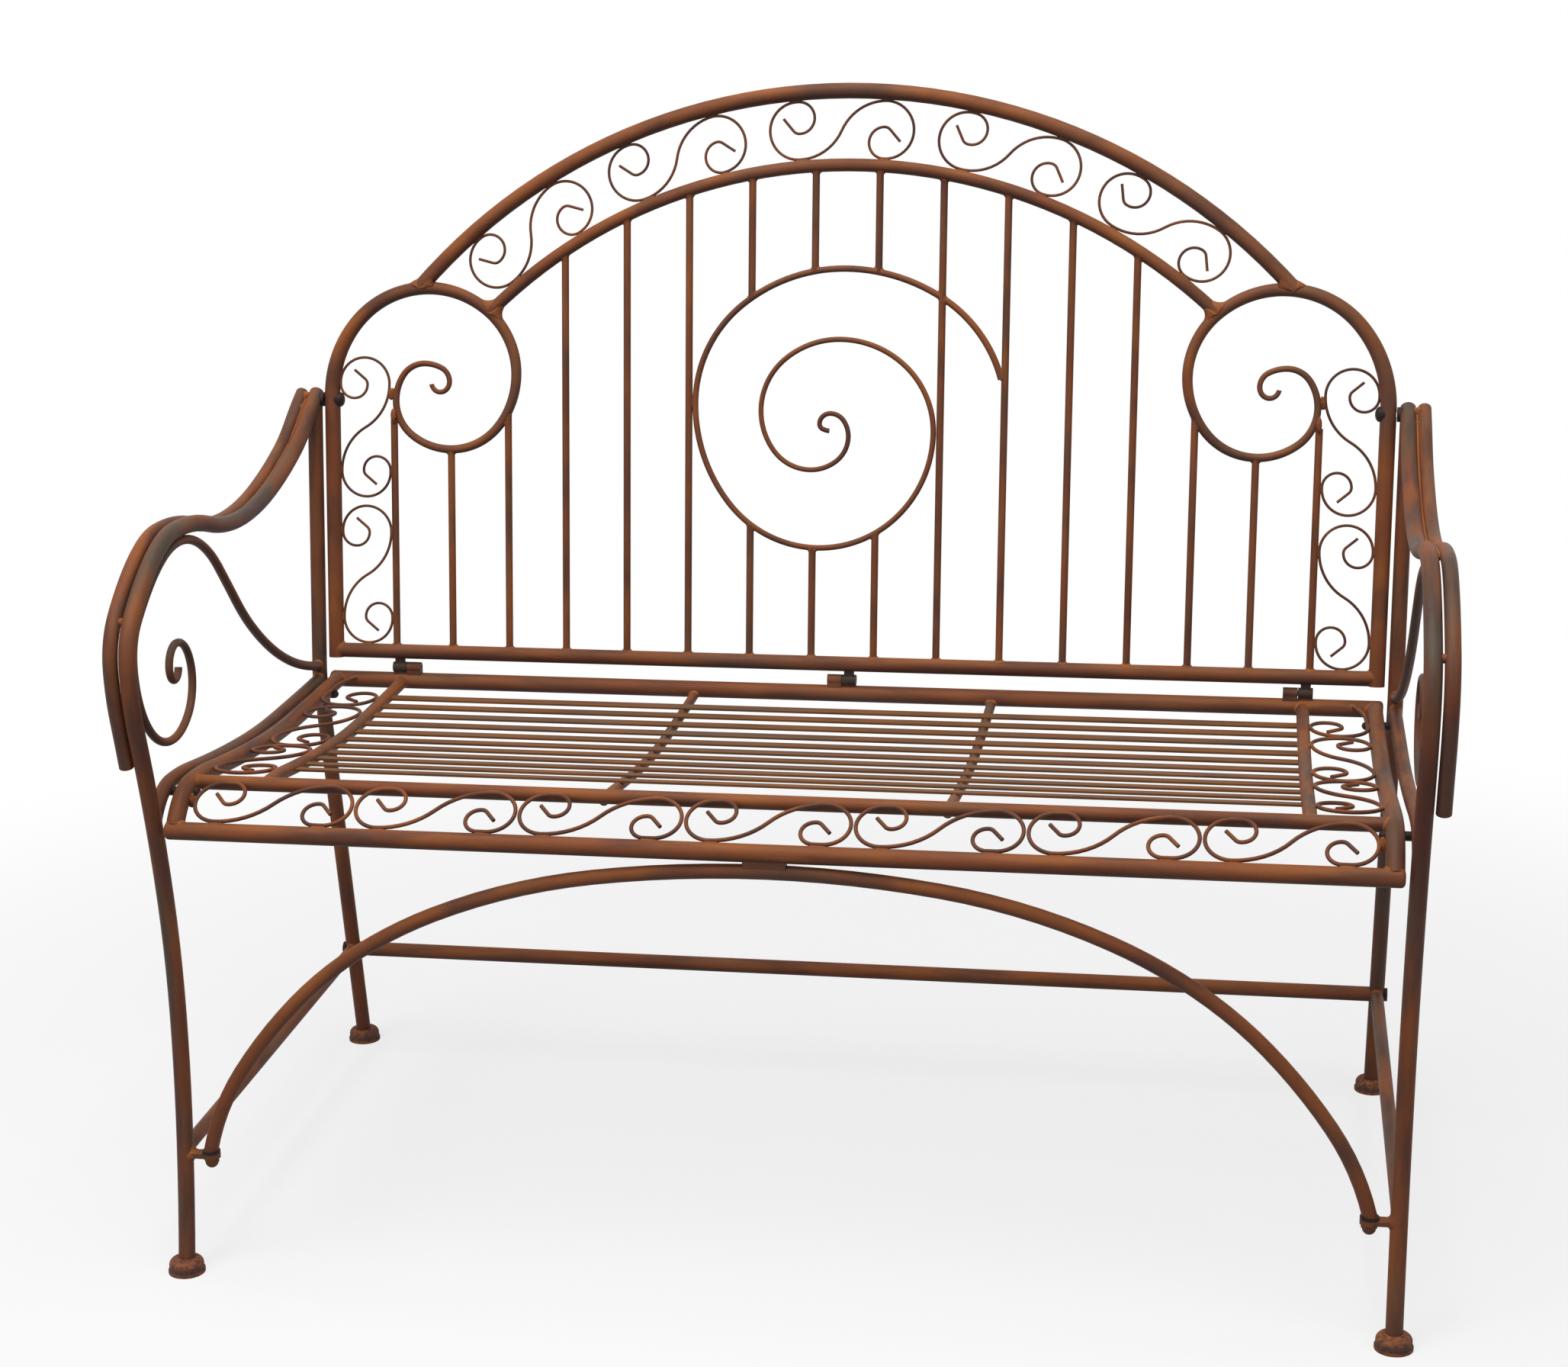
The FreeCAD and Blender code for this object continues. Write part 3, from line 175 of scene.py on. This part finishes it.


# Clouds run along the tubes: a finish stretches its pattern in the directions its tubes keep to
# top: strength of the painted sheen that greys upper faces
def rustSteel(name, orange, oxide, dark, stretch, seed, body="brown", top=0.0):
    material, bench = newBench(name)
    spot = bench.add("ShaderNodeTexCoord", output="Object")
    facing = bench.add("ShaderNodeTexCoord", output="Normal")
    upward = bench.add("ShaderNodeSeparateXYZ", {}, {"Vector": facing}, 2)
    place = bench.add("ShaderNodeVectorMath", {"operation": "MULTIPLY_ADD"},
                      {0: spot, 1: stretch, 2: (seed, 2 * seed, -seed)})
    drift = bench.cloud(place, rust["driftSize"])
    haze = bench.cloud(place, rust["hazeSize"], detail=3)
    bloom = bench.cloud(place, rust["bloomSize"], detail=3)
    patch = bench.cloud(place, rust["patchSize"])
    speck = bench.cloud(spot, rust["speckSize"])
    grain = bench.cloud(spot, rust["grainSize"])
    # Painted light: upper faces go from maroon to the body colour; the drift cloud and the specks add real
    # random tone
    lit = bench.step(drift + rust["litLift"] * upward + rust["fleck"] * speck - dark, *rust["litSpan"])
    base = bench.mix(lit, rust["maroon"], rust[body])
    # Orange rust clouds, with a painted highlight that pushes upper faces towards orange
    glow = bench.step(bloom + rust["glowLift"] * upward + rust["glowFleck"] * speck, *rust["glowSpan"])
    base = bench.mix(orange * glow, base, rust["orange"])
    # Grey oxide clouds; top adds a painted sheen that makes upper faces greyer
    cool = bench.step(haze + rust["fleck"] * speck + top * upward, *rust["coolSpan"])
    base = bench.mix(oxide * cool, base, rust["oxide"])
    base = bench.mix(oxide * bench.step(haze, *rust["sootSpan"]), base, rust["soot"])
    murk = bench.step(patch + rust["fleck"] * speck + rust["duskDark"] * dark, *rust["duskSpan"])
    base = bench.mix(rust["duskShare"] * murk, base, rust["dusk"])
    # Painted shade: undersides darkened to the shade colour
    paintedShadeBelow = bench.step(rust["underFleck"] * speck - upward, *rust["underSpan"])
    base = bench.mix(rust["underShare"] * paintedShadeBelow, base, rust["under"])
    base = bench.mix(rust["grainShare"] * bench.step(grain, *rust["grainSpan"]), base, (0, 0, 0, 1))
    height = rust["bumpSpeck"] * speck + rust["bumpGrain"] * grain
    bench.finish(base, rust["rough"] + rust["coolRough"] * cool + rust["speckRough"] * speck, height, rust)
    return material


# Bolts, washers, spacers and hinges: near-black, worn to rust in places
hardware = dict(
    black=colour(34, 25, 27),
    faded=colour(62, 52, 45),
    worn=colour(76, 44, 36),
    wornSize=0.012,
    wornSpan=(0.56, 0.74),
    wornGrain=0.15,
    grainSize=0.0012,
    bumpStrength=0.25,
    bumpDepth=0.0004,
    rough=0.55,
    wornRough=0.2,
    shine=0.2,
)


def darkSteel(name, body):
    material, bench = newBench(name)
    place = bench.add("ShaderNodeTexCoord", output="Object")
    worn = bench.cloud(place, hardware["wornSize"], detail=5, rough=0.6)
    grain = bench.cloud(place, hardware["grainSize"])
    wornMask = bench.step(worn + hardware["wornGrain"] * grain, *hardware["wornSpan"])
    base = bench.mix(wornMask, hardware[body], hardware["worn"])
    bench.finish(base, hardware["rough"] + hardware["wornRough"] * wornMask, grain, hardware)
    return material


# Foot caps: a rust ring on the ground, a dark band above it and a rust shoulder
footCap = dict(
    ringTop=0.003,
    bandTop=0.0085,
    blur=0.0012,
    waver=0.004,
    band=colour(52, 40, 38),
    bandShare=0.7,
    orangeSpan=(0.4, 0.65),
    maroonSpan=(0.62, 0.35),
    bumpStrength=0.3,
    bumpDepth=0.0005,
    rough=0.8,
    shine=0.5,
)


def footSteel(name):
    material, bench = newBench(name)
    place = bench.add("ShaderNodeTexCoord", output="Object")
    height = bench.add("ShaderNodeSeparateXYZ", {}, {"Vector": place}, 2)
    bloom = bench.cloud(place, rust["bloomSize"], detail=5, rough=0.6, twist=0.2)
    speck = bench.cloud(place, rust["speckSize"], detail=3, rough=0.6)
    waver = height + footCap["waver"] * (bloom - 0.5)
    blur = footCap["blur"]
    band = (bench.step(waver, footCap["ringTop"] - blur, footCap["ringTop"] + blur)
            * (1 - bench.step(waver, footCap["bandTop"] - 2 * blur, footCap["bandTop"] + 2 * blur)))
    base = bench.mix(bench.step(bloom, *footCap["orangeSpan"]), rust["brown"], rust["orange"])
    base = bench.mix(bench.step(speck, *footCap["maroonSpan"]), base, rust["maroon"])
    base = bench.mix(band * footCap["bandShare"], base, footCap["band"])
    bench.finish(base, footCap["rough"], speck, footCap)
    return material


tubeRust = rustSteel("tubeRust", orange=0.7, oxide=0.4, dark=0.0, stretch=(1, 5, 1), seed=0.3)
armRust = rustSteel("armRust", orange=0.35, oxide=0.95, dark=0.06, stretch=(6, 1, 1), seed=1.7, top=0.1)
sideRust = rustSteel("sideRust", orange=0.5, oxide=0.7, dark=0.07, stretch=(6, 1, 1), seed=4.4, top=0.07)
railRust = rustSteel("railRust", orange=0.62, oxide=0.4, dark=0.0, stretch=(0.8, 5, 5), seed=2.3)
slatRust = rustSteel("slatRust", orange=0.35, oxide=0.3, dark=-0.05, stretch=(0.8, 5, 5), seed=6.2,
                     body="olive")
barRust = rustSteel("barRust", orange=0.65, oxide=0.4, dark=0.02, stretch=(4, 4, 1), seed=5.9)
wireRust = rustSteel("wireRust", orange=0.42, oxide=0.35, dark=0.13, stretch=(2, 2, 2), seed=3.1)
weldRust = rustSteel("weldRust", orange=1.0, oxide=0.1, dark=-0.1, stretch=(1, 1, 1), seed=7.7)
blackSteel = darkSteel("blackSteel", "black")
hingeSteel = darkSteel("hingeSteel", "faded")
capRust = footSteel("capRust")
slotFinish = {"rusted_steel": tubeRust, "dark_hardware": blackSteel, "foot_caps": capRust}
finishNodes = (
    (wireRust, ("apron_scrolls", "arch_scrolls", "left_seat_scrolls", "right_seat_scrolls",
                "left_back_scrolls", "right_back_scrolls")),
    (railRust, ("seat_apron_rail", "seat_front_rail", "seat_rear_rail", "back_bottom_rail",
                "rear_stretcher")),
    (slatRust, ("seat_slats",)),
    (barRust, ("back_long_bars", "back_upper_bars", "back_lower_bars", "volute_bars")),
    (hingeSteel, ("hinge_back_knuckles",)),
    (armRust, ("left_front_leg_arm", "right_front_leg_arm", "left_arm_scroll", "right_arm_scroll")),
    (sideRust, [side + piece for side in ("left_", "right_") for piece in (
        "outer_arm_tube", "rear_leg", "seat_support", "side_stretcher", "seat_side_rail", "seat_inner_rail",
        "cross_bar")]),
)
nodeFinish = {}
for finish, group in finishNodes:
    nodeFinish.update(dict.fromkeys(group, finish))
for part in frame["record"]["subparts"]:
    finish = nodeFinish.get(part["node"], slotFinish[part["material_slot"]])
    shown = nodes[part["node"]]
    shown.data.materials.clear()
    shown.data.materials.append(finish)
print("finishes assigned")


# Welds: a hollow fillet along every line where one member meets another
weld = dict(
    archLeg=0.0105,
    tubeLeg=0.0032,
    lugLeg=0.0065,
    barLeg=0.0028,
    wireLeg=0.0018,
    slatLeg=0.0011,
    touch=0.0003,  # a point this near to the other member lies on it
    turns=28,
    fewest=5,
    longest=0.05,
    steps=5,
    probe=0.6,  # share of the leg where the member's direction is read
    hollow=0.12,
    sink=0.0003,
    lump=0.3,
    lumpSize=0.006,
)
backJoints = {
    "back_bottom_rail": ("tubeLeg", ("left_back_upright", "right_back_upright")),
    "back_outer_arch": ("archLeg", ("left_back_upright", "right_back_upright")),
    "back_inner_arch": ("archLeg", ("left_back_upright", "right_back_upright")),
    "back_long_bars": ("barLeg", ("back_bottom_rail", "back_inner_arch")),
    "back_upper_bars": ("barLeg", ("centre_spiral", "back_inner_arch")),
    "back_lower_bars": ("barLeg", ("centre_spiral", "back_bottom_rail")),
    "volute_bars": ("barLeg", ("back_bottom_rail", "left_back_upright", "right_back_upright")),
    "centre_spiral": ("barLeg", ("back_long_bars",)),
    "arch_scrolls": ("wireLeg", ("back_outer_arch", "back_inner_arch")),
}
frameJoints = {
    "seat_front_rail": ("tubeLeg", ("left_seat_side_rail", "right_seat_side_rail")),
    "apron_scrolls": ("wireLeg", ("seat_apron_rail", "seat_front_rail")),
    "seat_slats": ("slatLeg", ("left_seat_inner_rail", "right_seat_inner_rail", "left_cross_bar",
                               "right_cross_bar")),
}
for side in ("left", "right"):
    backJoints[side + "_back_scrolls"] = ("wireLeg", (side + "_back_upright", "volute_bars",
                                                      "back_bottom_rail"))
    frameJoints[side + "_seat_scrolls"] = ("wireLeg", (side + "_seat_side_rail", side + "_seat_inner_rail",
                                                        "seat_rear_rail"))
    frameJoints[side + "_seat_side_rail"] = ("tubeLeg", ("seat_apron_rail", "seat_rear_rail"))
    frameJoints[side + "_seat_inner_rail"] = ("tubeLeg", ("seat_front_rail", "seat_rear_rail"))
    frameJoints[side + "_cross_bar"] = ("barLeg", ("seat_front_rail", "seat_rear_rail"))
    frameJoints[side + "_seat_support"] = ("tubeLeg", (side + "_front_leg_arm", side + "_rear_leg"))
    frameJoints[side + "_side_stretcher"] = ("tubeLeg", (side + "_front_leg_arm", side + "_rear_leg"))
    frameJoints[side + "_rear_leg"] = ("tubeLeg", (side + "_front_leg_arm",))
    frameJoints[side + "_arm_scroll"] = ("barLeg", (side + "_rear_leg", side + "_front_leg_arm"))
    frameJoints[side + "_arch_lug"] = ("lugLeg", (side + "_front_leg_arm",))


surfaces = {}


def surface(node):
    if node not in surfaces:
        data = nodes[node].data
        surfaces[node] = BVHTree.FromPolygons([v.co for v in data.vertices],
                                              [p.vertices for p in data.polygons])
    return surfaces[node]


def touchGroups(member, base):  # clusters of the member's points that lie on the base's surface
    spots = {}
    keys = []
    data = nodes[member].data
    for vertex in data.vertices:
        key = tuple(round(c, 5) for c in vertex.co)
        keys.append(key)
        if key not in spots:
            near = surface(base).find_nearest(vertex.co, weld["touch"])
            spots[key] = near[0] and (vertex.co.copy(), near[1])
    owner = {key: key for key, found in spots.items() if found}

    def root(key):
        while owner[key] != key:
            owner[key] = owner[owner[key]]
            key = owner[key]
        return key

    for edge in data.edges:
        first, second = (keys[i] for i in edge.vertices)
        if first in owner and second in owner:
            owner[root(first)] = root(second)
    groups = {}
    for key in owner:
        groups.setdefault(root(key), []).append(spots[key])
    return list(groups.values())


def ringOf(group):  # the cluster's outline, in order round its middle
    middle = sum((place for place, normal in group), Vector()) / len(group)
    up = sum((normal for place, normal in group), Vector()).normalized()
    across = up.orthogonal().normalized()
    ahead = up.cross(across)
    count = weld["turns"]
    outline = [None] * count
    for place, normal in group:
        offset = place - middle
        flat = Vector((offset.dot(across), offset.dot(ahead)))
        index = int((math.atan2(flat.y, flat.x) / math.tau) % 1 * count) % count
        if outline[index] is None or flat.length > outline[index][0]:
            outline[index] = (flat.length, place)
    filled = [i for i in range(count) if outline[i]]
    if len(filled) < weld["fewest"] or max(spot[0] for spot in filter(None, outline)) > weld["longest"]:
        return None
    ring = []
    for i in range(count):
        before = max((k for k in filled if k <= i), default=filled[-1] - count)
        after = min((k for k in filled if k >= i), default=filled[0] + count)
        share = (i - before) / (after - before) if after > before else 0
        ring.append(outline[before % count][1].lerp(outline[after % count][1], share))
    return [ring[i - 1] * 0.25 + ring[i] * 0.5 + ring[(i + 1) % count] * 0.25 for i in range(count)]


# Points across a weld: a hollow curve from the base up to the member, and one point inside the corner
def filletSection(place, member, base, leg):
    size = leg * (1 + weld["lump"] * noise.noise(place / weld["lumpSize"]))
    corner, baseNormal = surface(base).find_nearest(place)[:2]
    memberNormal = surface(member).find_nearest(corner + baseNormal * size * weld["probe"])[1]
    low, lowNormal = surface(base).find_nearest(corner + memberNormal * size)[:2]
    high, highNormal = surface(member).find_nearest(corner + baseNormal * size)[:2]
    low = low - lowNormal * weld["sink"]
    high = high - highNormal * weld["sink"]
    middle = corner + (baseNormal + memberNormal) * size * weld["hollow"]
    curve = []
    for k in range(weld["steps"] + 1):
        t = k / weld["steps"]
        curve.append(low * (1 - t) ** 2 + middle * 2 * t * (1 - t) + high * t ** 2)
    inside = corner - (baseNormal + memberNormal) * weld["sink"]
    return curve + [inside]


# Beads: lumps of weld across a narrow gap, and over the tops of the bars beside the volutes
bead = dict(
    reach=0.008,
    facing=0.5,
    radius=0.0019,
    tall=0.0065,
    capRadius=0.003,
    capRise=0.004,
    capReach=0.008,
    capLean=0.13,
    lump=0.25,
    lumpSize=0.003,
)


def lumpOn(mesh, place, along, reach, thick, tall):
    turn = along.to_track_quat("Z", "Y").to_matrix().to_4x4()
    shape = Matrix.Translation(place) @ turn @ Matrix.Diagonal((thick, tall, reach, 1))
    for vertex in bmesh.ops.create_icosphere(mesh, subdivisions=3, radius=1, matrix=shape)["verts"]:
        vertex.co += (vertex.co - place) * (bead["lump"] * noise.noise(vertex.co / bead["lumpSize"]))


def bridge(mesh, member, base, facing):  # one bead where the member comes nearest to the base's facing side
    best = None
    for vertex in nodes[member].data.vertices:
        place, normal, face, gap = surface(base).find_nearest(vertex.co, bead["reach"])
        if place and normal.x * facing > bead["facing"] and (best is None or gap < best[0]):
            best = (gap, vertex.co.copy(), place)
    if best:
        gap, start, end = best
        lumpOn(mesh, (start + end) / 2, end - start, gap / 2 + bead["radius"], bead["radius"], bead["tall"])


def backBeads(mesh):
    for side, sign in (("left", -1), ("right", 1)):
        bridge(mesh, side + "_back_scrolls", side + "_back_upright", sign)
        spots = [vertex.co for vertex in nodes["volute_bars"].data.vertices]
        edge = max(sign * spot.x for spot in spots) - bead["capRadius"]
        top = max((spot for spot in spots if sign * spot.x > edge), key=lambda spot: spot.z)
        place = top + Vector((-sign * bead["capRadius"] / 2, 0, bead["capRise"]))
        lean = Vector((0, bead["capLean"], 1))
        lumpOn(mesh, place, lean, bead["capReach"], bead["capRadius"], bead["capRadius"])


# Seams fill the groove between the two tubes of each arm, from the arm's crest to its rear end
seam = dict(
    crest=-0.17,  # where the seam starts, along Y
    pace=0.006,
    endTrim=0.006,
    halfWide=0.0017,
    halfTall=0.0032,
    corners=12,
    lump=0.12,
    lumpSize=0.008,
    capRadius=0.0055,
    capReach=0.0072,
)


def seamPath(side):
    inner, outer = surface(side + "_front_leg_arm"), surface(side + "_outer_arm_tube")
    low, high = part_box(side + "_outer_arm_tube")
    middle = (low.x + high.x) / 2
    down = Vector((0, 0, -1))
    path = []
    for k in range(int((high.y - seam["endTrim"] - seam["crest"]) / seam["pace"]) + 1):
        setback = seam["crest"] + k * seam["pace"]
        top = outer.ray_cast(Vector((middle, setback, high.z)) - down, down)[0]
        bottom = outer.ray_cast(Vector((middle, setback, low.z)) + down, -down)[0]
        centre = (top + bottom) / 2
        touch = inner.find_nearest(centre)[0]
        skin = centre + (touch - centre).normalized() * (high.x - low.x) / 2
        path.append((touch + skin) / 2)
    return path


def frameBeads(mesh):
    across = Vector((1, 0, 0))
    for side, sign in (("left", -1), ("right", 1)):
        bridge(mesh, "apron_scrolls", side + "_seat_side_rail", -sign)
        path = seamPath(side)
        loops = []
        for k, place in enumerate(path):
            ahead = (path[min(k + 1, len(path) - 1)] - path[max(k - 1, 0)]).normalized()
            tall = seam["halfTall"] * (1 + seam["lump"] * noise.noise(place / seam["lumpSize"]))
            turns = [math.tau * c / seam["corners"] for c in range(seam["corners"])]
            loops.append([mesh.verts.new(place + across * seam["halfWide"] * math.cos(turn)
                                         + across.cross(ahead) * tall * math.sin(turn)) for turn in turns])
        for near, far in zip(loops, loops[1:]):
            for k in range(seam["corners"]):
                mesh.faces.new((near[k], near[k - 1], far[k - 1], far[k]))
        mesh.faces.new(loops[0])
        mesh.faces.new(loops[-1])
        lumpOn(mesh, path[-1], across.cross(ahead), seam["capReach"], seam["capRadius"], seam["capRadius"])


def weldPiece(name, joints, addBeads, body):
    mesh = bmesh.new()
    count = 0
    for member, (leg, bases) in joints.items():
        for base in bases:
            for ring in filter(None, map(ringOf, touchGroups(member, base))):
                loops = [[mesh.verts.new(spot) for spot in filletSection(place, member, base, weld[leg])]
                         for place in ring]
                for near, far in zip(loops, loops[1:] + loops[:1]):
                    for k in range(len(near)):
                        mesh.faces.new((near[k], near[k - 1], far[k - 1], far[k]))
                count += 1
    addBeads(mesh)
    for face in mesh.faces:
        face.smooth = True
    bmesh.ops.recalc_face_normals(mesh, faces=mesh.faces)
    data = bpy.data.meshes.new(name)
    mesh.to_mesh(data)
    mesh.free()
    data.materials.append(weldRust)
    piece = bpy.data.objects.new(name, data)
    bpy.context.scene.collection.objects.link(piece)
    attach(piece, body)
    print("%s: %d welds" % (name, count))


weldPiece("backrest_welds", backJoints, backBeads, "backrest")
weldPiece("frame_welds", frameJoints, frameBeads, "bench_frame")


# Stage: a white floor that keeps a soft shadow near the bench and runs out into white
stage = dict(radius=30.0, corners=96, bounce=0.45, white=0.95, ambient=0.12, shadowShare=0.3,
             shadowNear=0.9, shadowFar=1.8)


def floorFinish():
    material, bench = newBench("studioFloor")
    place = bench.add("ShaderNodeTexCoord", output="Object")
    reach = bench.add("ShaderNodeVectorMath", {"operation": "LENGTH"}, {0: place}, 1)
    glow = 1 - stage["shadowShare"] * (1 - bench.step(reach, stage["shadowNear"], stage["shadowFar"]))
    dim, matte = [bench.add("ShaderNodeBsdfDiffuse", {}, {"Color": (stage[share],) * 3 + (1,)})
                  for share in ("bounce", "white")]
    plain = bench.add("ShaderNodeEmission", {}, {"Color": (1, 1, 1, 1), "Strength": 1.0})
    shown = bench.add("ShaderNodeMixShader", {}, {0: glow, 1: matte, 2: plain})
    shader = bench.add("ShaderNodeMixShader", {}, {0: bench.seen(), 1: dim, 2: shown})
    bench.add("ShaderNodeOutputMaterial", {}, {"Surface": shader})
    return material


disc = bmesh.new()
bmesh.ops.create_circle(disc, cap_ends=True, segments=stage["corners"], radius=stage["radius"])
floorData = bpy.data.meshes.new("studioFloor")
disc.to_mesh(floorData)
disc.free()
floorData.materials.append(floorFinish())
floor = bpy.data.objects.new("studioFloor", floorData)
bpy.context.scene.collection.objects.link(floor)

world = bpy.data.worlds.new("studioWorld")
world.use_nodes = True
bpy.context.scene.world = world
sky = Bench(world.node_tree)
strength = stage["ambient"] + (1 - stage["ambient"]) * sky.seen()
backdrop = sky.add("ShaderNodeBackground", {}, {"Color": (1, 1, 1, 1), "Strength": strength})
sky.add("ShaderNodeOutputWorld", {}, {"Surface": backdrop})

softboxes = dict(
    overhead=dict(place=(-0.2, -0.9, 3.6), aim=(0, 0, 0.5), size=2.6, watts=105),
    frontLeft=dict(place=(-2.6, -3.2, 2.2), aim=(0, 0, 0.5), size=2.2, watts=34),
    frontRight=dict(place=(3.0, -2.6, 1.8), aim=(0, 0, 0.5), size=2.2, watts=14),
)
for name, box in softboxes.items():
    light = bpy.data.lights.new(name, "AREA")
    light.size = box["size"]
    light.energy = box["watts"]
    lamp = bpy.data.objects.new(name, light)
    lamp.location = box["place"]
    lamp.rotation_mode = "QUATERNION"
    lamp.rotation_quaternion = (Vector(box["aim"]) - lamp.location).to_track_quat("-Z", "Y")
    bpy.context.scene.collection.objects.link(lamp)
print("stage and lights set")


# Camera at the photograph's viewpoint, worked out for an image of 2056 by 1792
view = dict(place=(0.39516, -2.66392, 1.24688), yaw=-0.1686, pitch=0.3021, roll=-0.0151, focal=3857.9,
            centre=(985.1, 1035.2), image=(2056, 1792), sensor=36.0, near=0.05, far=100)
yaw, pitch, roll = view["yaw"], view["pitch"], view["roll"]
ahead = Vector((math.sin(yaw) * math.cos(pitch), math.cos(yaw) * math.cos(pitch), -math.sin(pitch)))
level = Vector((math.cos(yaw), -math.sin(yaw), 0))
upright = level.cross(ahead)
right = level * math.cos(roll) + upright * math.sin(roll)
above = upright * math.cos(roll) - level * math.sin(roll)
lens = bpy.data.cameras.new("photoCamera")
lens.sensor_fit = "HORIZONTAL"
lens.sensor_width = view["sensor"]
lens.lens = view["focal"] / view["image"][0] * view["sensor"]
lens.shift_x = (view["image"][0] / 2 - view["centre"][0]) / view["image"][0]
lens.shift_y = (view["centre"][1] - view["image"][1] / 2) / view["image"][0]
lens.clip_start = view["near"]
lens.clip_end = view["far"]
shot = bpy.data.objects.new("photoCamera", lens)
turn = Matrix((right, above, -ahead)).transposed().to_4x4()
shot.matrix_world = Matrix.Translation(view["place"]) @ turn
bpy.context.scene.collection.objects.link(shot)
bpy.context.scene.camera = shot
bpy.context.scene.view_settings.view_transform = "Standard"
print("camera set")
